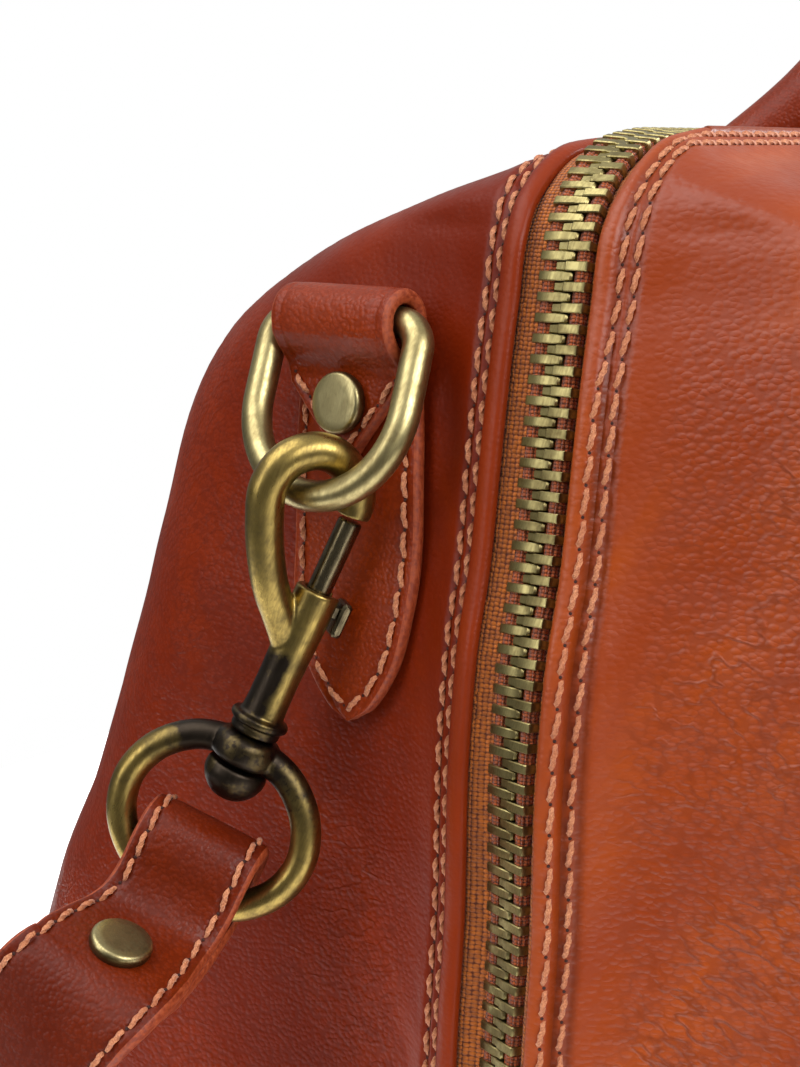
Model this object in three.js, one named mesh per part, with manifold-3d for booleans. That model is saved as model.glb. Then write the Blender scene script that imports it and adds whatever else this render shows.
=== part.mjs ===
// Leather travel bag: two soft half shells joined by a metal zip that runs over the top and
// down both ends, two rolled handles, and a shoulder strap clipped to a D-ring at each end.
// Millimetres, +Z up, X along the bag, -Y the front, origin at the middle of the flat base.
import * as THREE from 'three';
import { mergeVertices } from 'three/addons/utils/BufferGeometryUtils.js';
import Module from 'manifold-3d';

const wasm = await Module();
wasm.setup();

// Body sizes
const WALL = 2.2;
const GAP = 0.3;
const BASE_THICK = 3;
const ZIP_HALF_GAP = 8;
const END_BOW = 2;
const RIDGE_REACH = 14;
const SIDE_BULGE = 8;
const BULGE_REACH = 60;
const RIDGE_SPREAD = 40;
const END_STEPS = 4;
const CORNER_STEPS = 4;
const SIDE_STEPS = 4;

// Level sections of the bag, from the base up to the zip
const SECTION_COLUMNS = ['z', 'half_length', 'half_width', 'corner', 'ridge'];
const SECTIONS = [
  [0, 236, 122, 26, 4.4],
  [20, 241, 127, 26, 4.4],
  [60, 244, 129, 26, 5.5],
  [105, 244.5, 125, 26, 7.7],
  [144, 242.7, 116.1, 26, 9.9],
  [165, 240.8, 107.4, 26, 10.4],
  [182, 240.5, 101.4, 26, 11],
  [203, 238.2, 94.8, 25, 10.4],
  [218, 234, 93, 25, 8.8],
  [232, 231.5, 90.9, 24, 7.7],
  [244, 229.3, 86.1, 24, 7.2],
  [252, 227.7, 79, 22, 7.2],
  [258, 226.3, 69.7, 20, 7.2],
  [265, 225, 56.3, 18, 7.2],
  [271.4, 222, 36.3, 14, 7.2],
  [276, 217.6, 22.6, 10, 7.2],
  [279.3, 212.8, 14.5, 5, 7.2],
  [281.5, 207.6, 11, 2.2, 7.2],
  [283, 196, 9.2, 1, 7.2],
];

// Zip sizes
const CHAIN_WIDTH = 10;
const CHAIN_THICK = 2.4;
const CHAIN_SINK = 0.6;
const TAPE_THICK = 1;
const TAPE_ACROSS = [5.3, 8, 11];
const ZIP_LOW = 4;
const ROOF_LOW = 271;
const ROOF_REACH = 60;
const TAPE_CLEAR = 0.1;
const SLIDER_LENGTH = 24;
const SLIDER_WIDTH = 14;
const SLIDER_THICK = 2.6;
const SLIDER_SLOPE = 3;
const PULL_LENGTH = 26;
const PULL_THICK = 1.6;
const SLIDER_X = 150;

// Tab and D-ring sizes, at the bag's left end
const TAB_Y = 37.15;
const TAB_SIDE = new THREE.Vector3(0.095, 1, 0).normalize();
const TAB_WIDTH = 24.8;
const TAB_LAYER = 2.4;
const TAB_LEAN = 0.068;
const TAB_OFF = 1.3;
const BAR_Z = 252;
const BAR_OFF = 6.6;
const RING_WIRE = 5;
const D_HALF_WIDTH = 15.5;
const D_STRAIGHT = 14.1;
const D_CORNER = 4.5;
const D_TILT = THREE.MathUtils.degToRad(26);
const D_LEAN = 0.07;
const SHIELD_DROP = 63;
const RIVET_RADIUS = 5;
const TAB_RIVET_DROP = 13.2;
const RIVET_LIFT = 0.6;
const RIVET_HEIGHT = 2.4;

// Back layer of the tab, from its rounded point up to the bar
// Columns: drop, half_width
const SHIELD = [
  [63, 1.6],
  [61.5, 4.1],
  [58, 7.3],
  [53, 10.2],
  [47, 11.9],
  [40, 12.9],
  [33, 13.1],
  [21, 13.1],
  [10, 12.6],
  [4, 12.4],
];

// Front flap of the tab, from the bar down to its point: how far it has closed on the back layer
// Columns: drop, closing, half_width
const FLAP = [
  [2, 0.1, 12.4],
  [4, 0.42, 12.4],
  [6, 0.85, 12.4],
  [7.2, 1, 12.4],
  [9.5, 1, 12.4],
  [13.5, 1, 8.8],
  [22, 1, 1.2],
];

// Snap hook sizes, along its axis from the mouth of the barrel
const HOOK_AXIS = new THREE.Vector3(0.259, -0.326, 0.909).normalize();
const HOOK_TURN = THREE.MathUtils.degToRad(54);
const HOOK_WIRE = 5.8;
const LINK_UP = 13.6;
const LINK_OUT = 8;
const BARREL_RADIUS = 3.7;
const SHAFT_RADIUS = 3.4;
const BOLT_RADIUS = 2;
const BORE_RADIUS = 2.3;
const BORE_DEPTH = 14;
const BOLT_TOP = 12.2;
const BOLT_TAIL = 5;
const STEM_TOP = -1.5;
const STEM_LOW = -3.5;
const STEM_HALF = 1.1;
const KNOB_TOP = -0.4;
const KNOB_LOW = -6.2;
const KNOB_HALF = 2;
const KNOB_OUT = -6;
const KNOB_IN = -4.3;
const SLOT_HALF = 1.45;
const SLOT_LOW = -12.6;
const HUB_UP = -28.5;
const HUB_RADIUS = 5.6;
const HUB_BORE = 2;
const HUB_HALF = 2.6;
const HUB_ROUND = 1.6;
const PIN_RADIUS = 1.6;

// Bow of the hook: up the axis, and out to the side, at each point of its wire
const BOW_TIP = 13;
// Columns: up, out
const BOW = [
  [-6, 1.2],
  [-2, 6],
  [2, 9.6],
  [7.5, 13.3],
  [12.8, 15],
  [17.6, 13.8],
  [20.5, 10.2],
  [20.7, 6.2],
  [18, 2],
  [15.4, 0.3],
  [BOW_TIP, 0],
];

// Turned profile of the shaft, collar and rivet ball: up the axis, radius
const SHAFT = [
  [-37.4, 0],
  [-36.8, 2.6],
  [-35.2, 4.4],
  [-33.2, 5.2],
  [-31.4, 4.9],
  [-31.4, PIN_RADIUS],
  [-25.6, PIN_RADIUS],
  [-25.6, 4.1],
  [-23.9, 4.1],
  [-23.6, 4.8],
  [-22.7, 4.8],
  [-22.3, 3.6],
  [-15, SHAFT_RADIUS],
  [-9, SHAFT_RADIUS + 0.2],
  [-4, BARREL_RADIUS],
  [0, BARREL_RADIUS],
  [0, 0],
];

// Swivel eye
const EYE_DROP = 26;
const LOOP_DROP = 22.5;
const EYE_SIDE = new THREE.Vector3(0.373, -0.879, -0.284);

// Left half of the eye's wire, from the hub to the foot: across the eye, and down from the hub
// Columns: across, down
const EYE = [
  [-3, 0],
  [-8.4, 1.6],
  [-13.3, 6],
  [-15.6, 11.5],
  [-15.3, 16.5],
  [-13, 21],
  [-8.6, 24.7],
  [-3.5, EYE_DROP],
];

// Shoulder strap
const STRAP_WIDTH = 25.4;
const LOOP_WIDTH = 20.6;
const STRAP_THICK = 3.2;
const STRAP_TURN_FROM = 5;
const STRAP_TURN_TO = 20;
const STRAP_DRIFT = 0.18;

// Strap beside the eye: out from the eye's plane, and down from the fold's middle, from the tail's
// tip over the wire to the rivet
// Columns: out, down
const LOOP = [
  [20.5, 16.4],
  [17, 15.4],
  [13, 14.4],
  [9, 13],
  [4.9, 10.8],
  [0.7, 8.7],
  [-2.9, 7.2],
  [-4.7, 4.2],
  [-4.8, -2],
  [-3.4, -6.2],
  [0, -7.5],
  [3.4, -6.2],
  [4.8, -3],
  [5, 1],
  [5.8, 4.4],
  [7.6, 7.4],
  [10.6, 9.4],
  [15, 10.8],
  [20, 12.2],
  [23.5, 13.8],
];

// Rest of the left half of the strap, round the bag's corner to the floor behind it
// Columns: x, y, z, side_x, side_y, side_z
const STRAP = [
  [-280.2, 51.9, 153.6, 0.19, -0.9, -0.39],
  [-282.2, 55.4, 149.4, 0.12, -0.9, -0.41],
  [-283.8, 60.2, 143.8, 0, -0.9, -0.44],
  [-285.6, 67, 135, -0.16, -0.87, -0.47],
  [-287.6, 77, 122, -0.4, -0.76, -0.53],
  [-289, 92, 99, -0.65, -0.6, -0.46],
  [-288, 112, 71, -0.88, -0.33, -0.36],
  [-282, 136, 41, -0.95, 0.05, -0.3],
  [-268, 160, 17, -0.9, 0.4, -0.2],
  [-243, 181, 4.6, -0.5, 0.86, 0],
  [-205, 196, 2, -0.25, 0.97, 0],
  [-150, 202, 2, 0, 1, 0],
  [-75, 203, 2, 0, 1, 0],
  [0, 203, 2, 0, 1, 0],
];

// Left half of the back handle, from the foot sewn to the shell up to the grip's middle
// Columns: x, z, lift, half_width, half_thick
const HANDLE_FOOT = [
  [-63, 228, 2, 4, 1.2],
  [-63, 231, 2, 9, 1.4],
  [-63, 236, 2.2, 11.5, 1.5],
  [-62, 246, 2.6, 11.5, 1.7],
  [-61, 254, 3.2, 11, 2.2],
  [-59, 260, 4.6, 10, 3.4],
];
const HANDLE_FACE = new THREE.Vector3(0, 0.8, 0.6);
// Columns: x, y, z, half_width, half_thick
const HANDLE_GRIP = [
  [-55.5, 65, 270.5, 8.6, 5.6],
  [-49.5, 53, 279.5, 8, 7.4],
  [-43, 43, 289, 8, 8],
  [-35, 32, 304, 8, 8],
  [-26, 22, 320, 8, 8],
  [-13.5, 14, 331.5, 8, 8],
  [0, 12, 335, 8, 8],
];

const LEATHER = new THREE.MeshStandardMaterial({ color: 0x8a3a1e, roughness: 0.5, metalness: 0 });
const LEATHER_DARK = new THREE.MeshStandardMaterial({ color: 0x70300f, roughness: 0.5, metalness: 0 });
const TAPE_CLOTH = new THREE.MeshStandardMaterial({ color: 0x7e4928, roughness: 0.9, metalness: 0 });
const BRASS = new THREE.MeshStandardMaterial({ color: 0x8f7a45, roughness: 0.35, metalness: 1 });
const BRASS_PALE = new THREE.MeshStandardMaterial({ color: 0xb0a070, roughness: 0.35, metalness: 1 });
const BRASS_DARK = new THREE.MeshStandardMaterial({ color: 0x5a5048, roughness: 0.35, metalness: 1 });

const group = new THREE.Group();

function vec(x, y, z) {
  return new THREE.Vector3(x, y, z);
}

function addMesh(name, geometry, material) {
  const mesh = new THREE.Mesh(geometry, material);
  mesh.name = name;
  group.add(mesh);
  return mesh;
}

// One column of a table at a given first-column value, straight between rows
function lookUp(table, column, value) {
  let k = 1;
  while (k < table.length - 1 && table[k][0] < value) k += 1;
  const low = table[k - 1];
  const high = table[k];
  const part = (value - low[0]) / (high[0] - low[0]);
  return low[column] + part * (high[column] - low[column]);
}

// A closed geometry from points and triangles, with its faces turned to point out
function closedGeometry(points, faces) {
  let volume = 0;
  for (const [a, b, c] of faces) {
    volume += points[a].dot(new THREE.Vector3().crossVectors(points[b], points[c]));
  }
  const index = [];
  for (const [a, b, c] of faces) {
    if (volume > 0) index.push(a, b, c);
    else index.push(a, c, b);
  }
  const geometry = new THREE.BufferGeometry();
  const flat = points.flatMap((p) => [p.x, p.y, p.z]);
  geometry.setAttribute('position', new THREE.Float32BufferAttribute(flat, 3));
  geometry.setIndex(index);
  geometry.computeVertexNormals();
  return geometry;
}

// How far the end wall lies behind the zip's ridge, at a distance y from the zip
function endRecess(y, halfWidth, ridge) {
  const spread = Math.min(1, (halfWidth - ZIP_HALF_GAP) / RIDGE_SPREAD);
  const roll = ridge * (1 - Math.exp(-(y - ZIP_HALF_GAP) / RIDGE_REACH));
  return spread * (END_BOW * (y / halfWidth) ** 2 + roll);
}

// Back half of one level section, from the left end's zip round to the right end's
function sectionCurve(row) {
  const [z, length, width, cornerSize, ridge] = row;
  const corner = Math.min(cornerSize, width - ZIP_HALF_GAP - 0.05);
  const plan = [];
  for (let i = 0; i < END_STEPS; i += 1) {
    plan.push([-length, ZIP_HALF_GAP + (width - corner - ZIP_HALF_GAP) * i / END_STEPS]);
  }
  for (let i = 0; i < CORNER_STEPS; i += 1) {
    const turn = Math.PI / 2 * i / CORNER_STEPS;
    plan.push([-length + corner * (1 - Math.cos(turn)), width - corner * (1 - Math.sin(turn))]);
  }
  for (let i = 0; i <= SIDE_STEPS; i += 1) {
    plan.push([-(length - corner) * (1 - i / SIDE_STEPS), width]);
  }
  const left = plan.map(([x, y]) => {
    const swell = SIDE_BULGE * (1 - (x / length) ** 2) * Math.min(1, (width - ZIP_HALF_GAP) / BULGE_REACH);
    const share = (y - ZIP_HALF_GAP) / (width - ZIP_HALF_GAP);
    return vec(x * (1 - endRecess(y, width, ridge) / length), y + swell * share, z);
  });
  const right = left.slice(0, -1).reverse().map((p) => vec(-p.x, p.y, p.z));
  return left.concat(right);
}

// Wall of the left end at a place y from the zip, at a height
function endWall(y, z) {
  const length = lookUp(SECTIONS, 1, z);
  const recess = endRecess(y, lookUp(SECTIONS, 2, z), lookUp(SECTIONS, 4, z));
  return vec(-length + recess, y, z);
}

// Wall of the back side at a place x along the bag, at a height
function sideWall(x, z) {
  const length = lookUp(SECTIONS, 1, z);
  const width = lookUp(SECTIONS, 2, z);
  const swell = SIDE_BULGE * (1 - (x / length) ** 2) * Math.min(1, (width - ZIP_HALF_GAP) / BULGE_REACH);
  return vec(x, width + swell, z);
}

// Outward normals over a grid of points
function gridNormals(grid) {
  const rows = grid.length;
  const columns = grid[0].length;
  return grid.map((row, j) => row.map((point, i) => {
    const along = grid[j][Math.min(i + 1, columns - 1)].clone().sub(grid[j][Math.max(i - 1, 0)]);
    const up = grid[Math.min(j + 1, rows - 1)][i].clone().sub(grid[Math.max(j - 1, 0)][i]);
    return new THREE.Vector3().crossVectors(up, along).normalize();
  }));
}

// A wall of even thickness behind a grid of points
function gridWall(grid, thickness) {
  const normals = gridNormals(grid);
  const rows = grid.length;
  const columns = grid[0].length;
  const points = [];
  for (const row of grid) points.push(...row);
  grid.forEach((row, j) => row.forEach((p, i) => {
    points.push(p.clone().addScaledVector(normals[j][i], -thickness));
  }));
  const outer = (j, i) => j * columns + i;
  const inner = (j, i) => rows * columns + j * columns + i;
  const faces = [];
  const quad = (a, b, c, d) => faces.push([a, b, c], [a, c, d]);
  for (let j = 0; j < rows - 1; j += 1) {
    for (let i = 0; i < columns - 1; i += 1) {
      quad(outer(j, i), outer(j, i + 1), outer(j + 1, i + 1), outer(j + 1, i));
      quad(inner(j, i), inner(j + 1, i), inner(j + 1, i + 1), inner(j, i + 1));
    }
    quad(outer(j, 0), outer(j + 1, 0), inner(j + 1, 0), inner(j, 0));
    const last = columns - 1;
    quad(outer(j, last), inner(j, last), inner(j + 1, last), outer(j + 1, last));
  }
  for (let i = 0; i < columns - 1; i += 1) {
    quad(outer(0, i), inner(0, i), inner(0, i + 1), outer(0, i + 1));
    quad(outer(rows - 1, i), outer(rows - 1, i + 1), inner(rows - 1, i + 1), inner(rows - 1, i));
  }
  return closedGeometry(points, faces);
}

// The same geometry mirrored across the plane where one axis is zero
function mirrored(geometry, axis) {
  const copy = geometry.clone();
  const position = copy.getAttribute('position');
  for (let i = 0; i < position.count; i += 1) {
    if (axis === 'x') position.setX(i, -position.getX(i));
    else position.setY(i, -position.getY(i));
  }
  const index = copy.getIndex();
  for (let i = 0; i < index.count; i += 3) {
    const swap = index.getX(i + 1);
    index.setX(i + 1, index.getX(i + 2));
    index.setX(i + 2, swap);
  }
  copy.computeVertexNormals();
  return copy;
}

// A solid swept along points. Each station has a side direction, a half width along it and a half
// thickness across it. A ring of four points makes a flat strip, more points a round bar.
function sweep(stations, closed, ring) {
  const count = stations.length;
  const points = [];
  stations.forEach((station, k) => {
    const before = stations[closed ? (k + count - 1) % count : Math.max(k - 1, 0)].at;
    const after = stations[closed ? (k + 1) % count : Math.min(k + 1, count - 1)].at;
    const ahead = after.clone().sub(before).normalize();
    const side = station.side.clone().addScaledVector(ahead, -ahead.dot(station.side)).normalize();
    const face = new THREE.Vector3().crossVectors(ahead, side);
    for (let i = 0; i < ring; i += 1) {
      const turn = 2 * Math.PI * (i + 0.5) / ring;
      const reach = ring === 4 ? Math.SQRT2 : 1;
      const u = station.width * reach * Math.cos(turn);
      const v = station.thick * reach * Math.sin(turn);
      points.push(station.at.clone().addScaledVector(side, u).addScaledVector(face, v));
    }
  });
  const faces = [];
  const spans = closed ? count : count - 1;
  for (let k = 0; k < spans; k += 1) {
    const here = k * ring;
    const next = ((k + 1) % count) * ring;
    for (let i = 0; i < ring; i += 1) {
      const j = (i + 1) % ring;
      faces.push([here + i, here + j, next + j], [here + i, next + j, next + i]);
    }
  }
  if (!closed) {
    const end = (count - 1) * ring;
    for (let i = 1; i < ring - 1; i += 1) {
      faces.push([0, i + 1, i], [end, end + i, end + i + 1]);
    }
  }
  return closedGeometry(points, faces);
}

// A smooth run of points through the rows given
function smoothRun(points, steps, closed) {
  const curve = new THREE.CatmullRomCurve3(points, closed, 'centripetal');
  const run = [];
  const last = closed ? steps : steps + 1;
  for (let i = 0; i < last; i += 1) run.push(curve.getPoint(i / steps));
  return run;
}

// A turned solid about an axis, from rows of place along the axis and radius
function turned(rows, centre, axis, segments) {
  const profile = rows.map(([along, radius]) => new THREE.Vector2(radius, along));
  const lathe = new THREE.LatheGeometry(profile, segments);
  const spin = new THREE.Quaternion().setFromUnitVectors(vec(0, 1, 0), axis);
  lathe.applyQuaternion(spin);
  lathe.translate(centre.x, centre.y, centre.z);
  return lathe;
}

function toSolid(geometry) {
  const bare = geometry.clone();
  bare.deleteAttribute('normal');
  bare.deleteAttribute('uv');
  const merged = mergeVertices(bare, 1e-4);
  const vertProperties = new Float32Array(merged.getAttribute('position').array);
  const triangles = [];
  const index = merged.getIndex().array;
  for (let i = 0; i < index.length; i += 3) {
    const [a, b, c] = [index[i], index[i + 1], index[i + 2]];
    if (a !== b && b !== c && c !== a) triangles.push(a, b, c);
  }
  const triVerts = new Uint32Array(triangles);
  return new wasm.Manifold(new wasm.Mesh({ numProp: 3, vertProperties, triVerts }));
}

function fromSolid(solid) {
  const mesh = solid.getMesh();
  const geometry = new THREE.BufferGeometry();
  const position = [];
  for (let i = 0; i < mesh.numVert; i += 1) {
    position.push(...mesh.vertProperties.slice(i * mesh.numProp, i * mesh.numProp + 3));
  }
  geometry.setAttribute('position', new THREE.Float32BufferAttribute(position, 3));
  geometry.setIndex(Array.from(mesh.triVerts));
  geometry.computeVertexNormals();
  return geometry;
}

// Half shells: level sections from just above the base to the zip
const lowRow = [BASE_THICK + GAP];
for (let column = 1; column < SECTION_COLUMNS.length; column += 1) {
  lowRow.push(lookUp(SECTIONS, column, BASE_THICK + GAP));
}
const shellGrid = [lowRow, ...SECTIONS.slice(1)].map(sectionCurve);
const backShell = gridWall(shellGrid, WALL);
addMesh('back_shell', backShell, LEATHER);
addMesh('front_shell', mirrored(backShell, 'y'), LEATHER);

// Base: a flat leather plate with the outline of the lowest section
const baseBack = sectionCurve(SECTIONS[0]);
const baseOutline = new THREE.Shape();
baseBack.forEach((p, i) => (i ? baseOutline.lineTo(p.x, p.y) : baseOutline.moveTo(p.x, p.y)));
[...baseBack].reverse().forEach((p) => baseOutline.lineTo(p.x, -p.y));
const basePlate = new THREE.ExtrudeGeometry(baseOutline, { depth: BASE_THICK, bevelEnabled: false });
addMesh('base', basePlate, LEATHER_DARK);

// Zip line in the upright plane through the bag's middle, sunk by a given depth below the shells
function zipLine(sink) {
  const top = SECTIONS[SECTIONS.length - 1];
  const rise = SECTIONS.filter((row) => row[0] > ZIP_LOW).map((row) => new THREE.Vector2(-row[1], row[0]));
  const start = new THREE.Vector2(-lookUp(SECTIONS, 1, ZIP_LOW), ZIP_LOW);
  const left = [start, ...rise, new THREE.Vector2(-top[1] * 0.5, top[0]), new THREE.Vector2(0, top[0])];
  const sunk = left.map((p, i) => {
    const before = left[Math.max(i - 1, 0)];
    const after = i < left.length - 1 ? left[i + 1] : new THREE.Vector2(-before.x, before.y);
    const ahead = after.clone().sub(before).normalize();
    const depth = Array.isArray(sink) ? sink[i] : sink;
    return new THREE.Vector2(p.x + ahead.y * depth, p.y - ahead.x * depth);
  });
  sunk[0].y = ZIP_LOW;
  return sunk.concat(sunk.slice(0, -1).reverse().map((p) => new THREE.Vector2(-p.x, p.y)));
}

// A band of the zip between two depths and two places across the bag
function zipBand(sinkOut, sinkIn, yLow, yHigh) {
  const outline = zipLine(sinkOut).concat(zipLine(sinkIn).reverse());
  const shape = new THREE.Shape(outline);
  const band = new THREE.ExtrudeGeometry(shape, { depth: yHigh - yLow, bevelEnabled: false });
  band.rotateX(Math.PI / 2);
  band.translate(0, yHigh, 0);
  return band;
}

// How far the roof lies below the top of the zip, at a distance y from the zip
function roofDrop(y) {
  const roof = SECTIONS.map((row) => [row[2], row[0]]).filter((row) => row[0] < ROOF_REACH).reverse();
  return SECTIONS[SECTIONS.length - 1][0] - (y < roof[0][0] ? roof[0][1] : lookUp(roof, 1, y));
}

// Zip tape of the back half: a strip beside the chain that follows the shell's wall on its inside
const zipRows = zipLine(0).map((p) => {
  const ridge = lookUp(SECTIONS, 4, p.y);
  return { ridge, high: p.y > ROOF_LOW };
});
const tapeGrid = TAPE_ACROSS.map((y) => {
  const under = zipRows.map(({ ridge, high }) => {
    const roll = y > ZIP_HALF_GAP ? ridge * (1 - Math.exp(-(y - ZIP_HALF_GAP) / RIDGE_REACH)) : 0;
    const drop = y > ZIP_HALF_GAP && high ? Math.max(roll, roofDrop(y)) : roll;
    return drop + WALL + GAP + TAPE_CLEAR;
  });
  return zipLine(under).map((p) => vec(p.x, y, p.y));
});
const half = CHAIN_WIDTH / 2;
addMesh('zip_teeth', zipBand(CHAIN_SINK, CHAIN_SINK + CHAIN_THICK, -half, half), BRASS);
const tape = gridWall(tapeGrid.reverse(), TAPE_THICK);
addMesh('zip_tape_back', tape, TAPE_CLOTH);
addMesh('zip_tape_front', mirrored(tape, 'y'), TAPE_CLOTH);

// Zip slider: a plain block with a pull lying on it, on the top run of the zip
const sliderZ = SECTIONS[SECTIONS.length - 1][0] - CHAIN_SINK + GAP;
const sliderShape = new THREE.Shape();
sliderShape.moveTo(-SLIDER_LENGTH / 2, 0);
sliderShape.lineTo(SLIDER_LENGTH / 2, 0);
sliderShape.lineTo(SLIDER_LENGTH / 2 - SLIDER_SLOPE, SLIDER_THICK);
sliderShape.lineTo(-SLIDER_LENGTH / 2 - PULL_LENGTH, SLIDER_THICK);
sliderShape.lineTo(-SLIDER_LENGTH / 2 - PULL_LENGTH, SLIDER_THICK - PULL_THICK);
sliderShape.lineTo(-SLIDER_LENGTH / 2, SLIDER_THICK - PULL_THICK);
const slider = new THREE.ExtrudeGeometry(sliderShape, { depth: SLIDER_WIDTH, bevelEnabled: false });
slider.rotateX(Math.PI / 2);
slider.translate(SLIDER_X, SLIDER_WIDTH / 2, sliderZ);
addMesh('zip_slider', slider, BRASS);

// Tab: one strip that rises as a shield on the end wall, folds over the bar of the D-ring and
// comes down in front to a short pointed flap
const wallUp = endWall(TAB_Y, BAR_Z).sub(endWall(TAB_Y, BAR_Z - SHIELD_DROP)).normalize();
const wallOut = new THREE.Vector3().crossVectors(TAB_SIDE, wallUp).normalize();
if (wallOut.x > 0) wallOut.negate();
const barCentre = endWall(TAB_Y, BAR_Z).addScaledVector(wallOut, BAR_OFF);
const backOff = TAB_OFF + TAB_LAYER / 2;
const frontOff = backOff + TAB_LAYER + GAP;
const loopRadius = BAR_OFF - backOff;
const tabHalf = TAB_WIDTH / 2;
const tabStations = [];
function tabStation(drop, off, width) {
  const at = endWall(TAB_Y - TAB_LEAN * drop, BAR_Z - drop).addScaledVector(wallOut, off);
  tabStations.push({ at, side: TAB_SIDE, width, thick: TAB_LAYER / 2 });
}
for (const [drop, width] of SHIELD) tabStation(drop, backOff, width);
for (let i = 0; i <= 8; i += 1) {
  const turn = Math.PI * i / 8;
  const at = barCentre.clone();
  at.addScaledVector(wallOut, -loopRadius * Math.cos(turn));
  at.addScaledVector(wallUp, loopRadius * Math.sin(turn));
  tabStations.push({ at, side: TAB_SIDE, width: tabHalf, thick: TAB_LAYER / 2 });
}
for (const [drop, closing, width] of FLAP) {
  const far = BAR_OFF + loopRadius;
  tabStation(drop, far + closing * (frontOff - far), width);
}
const tab = sweep(tabStations, false, 4);
addMesh('tab_left', tab, LEATHER_DARK);
addMesh('tab_right', mirrored(tab, 'x'), LEATHER_DARK);

// D-ring, its bar in the fold of the tab and its bow swung out over the hook
const ringDown = vec(-Math.sin(D_TILT), -D_LEAN, -Math.cos(D_TILT)).normalize();
const ringFace = new THREE.Vector3().crossVectors(TAB_SIDE, ringDown).normalize();
function ringPoint(across, down) {
  return barCentre.clone().addScaledVector(TAB_SIDE, across).addScaledVector(ringDown, down);
}
const dPath = [];
for (let i = 0; i <= 14; i += 1) {
  const turn = Math.PI * i / 14;
  dPath.push(ringPoint(D_HALF_WIDTH * Math.cos(turn), D_STRAIGHT + D_HALF_WIDTH * Math.sin(turn)));
}
for (let i = 0; i <= 3; i += 1) {
  const turn = Math.PI / 2 * i / 3;
  dPath.push(ringPoint(-D_HALF_WIDTH + D_CORNER * (1 - Math.cos(turn)), D_CORNER * (1 - Math.sin(turn))));
}
for (let i = 3; i >= 0; i -= 1) {
  const turn = Math.PI / 2 * i / 3;
  dPath.push(ringPoint(D_HALF_WIDTH - D_CORNER * (1 - Math.cos(turn)), D_CORNER * (1 - Math.sin(turn))));
}
const wire = RING_WIRE / 2;
const dRing = sweep(dPath.map((at) => ({ at, side: ringFace, width: wire, thick: wire })), true, 8);
addMesh('d_ring_left', dRing, BRASS);
addMesh('d_ring_right', mirrored(dRing, 'x'), BRASS);

// Tab rivet: a low cap on the flap, above the flap's point
function cap(centre, axis) {
  const rows = [
    [0, 0],
    [0, RIVET_RADIUS * 0.92],
    [RIVET_HEIGHT * 0.45, RIVET_RADIUS],
    [RIVET_HEIGHT * 0.8, RIVET_RADIUS * 0.86],
    [RIVET_HEIGHT, 0],
  ];
  return turned(rows, centre, axis, 12);
}
const tabRivetAt = endWall(TAB_Y - TAB_LEAN * TAB_RIVET_DROP, BAR_Z - TAB_RIVET_DROP);
tabRivetAt.addScaledVector(wallOut, frontOff + TAB_LAYER / 2 + RIVET_LIFT);
const tabRivet = cap(tabRivetAt, wallOut);
addMesh('tab_rivet_left', tabRivet, BRASS_PALE);

// Snap hook: a bow that closes on a spring bolt, with a turned shaft and swivel rivet below
const hookSide = vec(-Math.sin(HOOK_TURN), Math.cos(HOOK_TURN), 0);
hookSide.addScaledVector(HOOK_AXIS, -HOOK_AXIS.dot(hookSide)).normalize();
const hookFace = new THREE.Vector3().crossVectors(HOOK_AXIS, hookSide).normalize();
const linkPoint = ringPoint(0, D_STRAIGHT + D_HALF_WIDTH);
const mouth = linkPoint.clone();
mouth.addScaledVector(HOOK_AXIS, -LINK_UP);
mouth.addScaledVector(hookSide, -LINK_OUT);
function hookPoint(up, out) {
  return mouth.clone().addScaledVector(HOOK_AXIS, up).addScaledVector(hookSide, out);
}
const bowRun = smoothRun(BOW.map(([up, out]) => hookPoint(up, out)), 22, false);
const hookWire = HOOK_WIRE / 2;
const bow = sweep(bowRun.map((at, i) => {
  const taper = i > 17 ? 1 - 0.08 * (i - 17) / 5 : 1;
  return { at, side: hookFace, width: hookWire * taper, thick: hookWire * taper };
}), false, 8);
const shaft = turned(SHAFT, mouth, HOOK_AXIS, 12);

// An upright block in the hook's own directions
function hookBlock(upLow, upHigh, outLow, outHigh, halfDeep) {
  const block = new THREE.BoxGeometry(upHigh - upLow, outHigh - outLow, 2 * halfDeep);
  block.translate((upLow + upHigh) / 2, (outLow + outHigh) / 2, 0);
  const turn = new THREE.Matrix4().makeBasis(HOOK_AXIS, hookSide, hookFace);
  block.applyMatrix4(turn);
  block.translate(mouth.x, mouth.y, mouth.z);
  return block;
}

// A straight pin along the hook's axis
function hookPin(low, high, radius) {
  return turned([[low, 0], [low, radius], [high, radius], [high, 0]], mouth, HOOK_AXIS, 12);
}
const hookPlain = toSolid(bow).add(toSolid(shaft));
const bore = hookPin(-BORE_DEPTH, 1, BORE_RADIUS);
const slot = hookBlock(SLOT_LOW, 1, -8, 0, SLOT_HALF);
const hookOpen = hookPlain.subtract(toSolid(bore)).subtract(toSolid(slot));
addMesh('hook_left', fromSolid(hookOpen), BRASS);

// The far hook is plain and closed, with its bolt as one piece with the bow
const hookClosed = hookPlain.add(toSolid(hookPin(-1, BOW_TIP + 0.4, BOLT_RADIUS)));
addMesh('hook_right', mirrored(fromSolid(hookClosed), 'x'), BRASS);

// Spring bolt with its thumb knob
const boltPin = toSolid(hookPin(-BOLT_TAIL, BOLT_TOP, BOLT_RADIUS));
const knobStem = hookBlock(STEM_LOW, STEM_TOP, KNOB_IN - 0.7, -0.5, STEM_HALF);
const knobHead = hookBlock(KNOB_LOW, KNOB_TOP, KNOB_OUT, KNOB_IN, KNOB_HALF);
const bolt = boltPin.add(toSolid(knobStem)).add(toSolid(knobHead));
addMesh('hook_left_bolt', fromSolid(bolt), BRASS_DARK);

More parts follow.
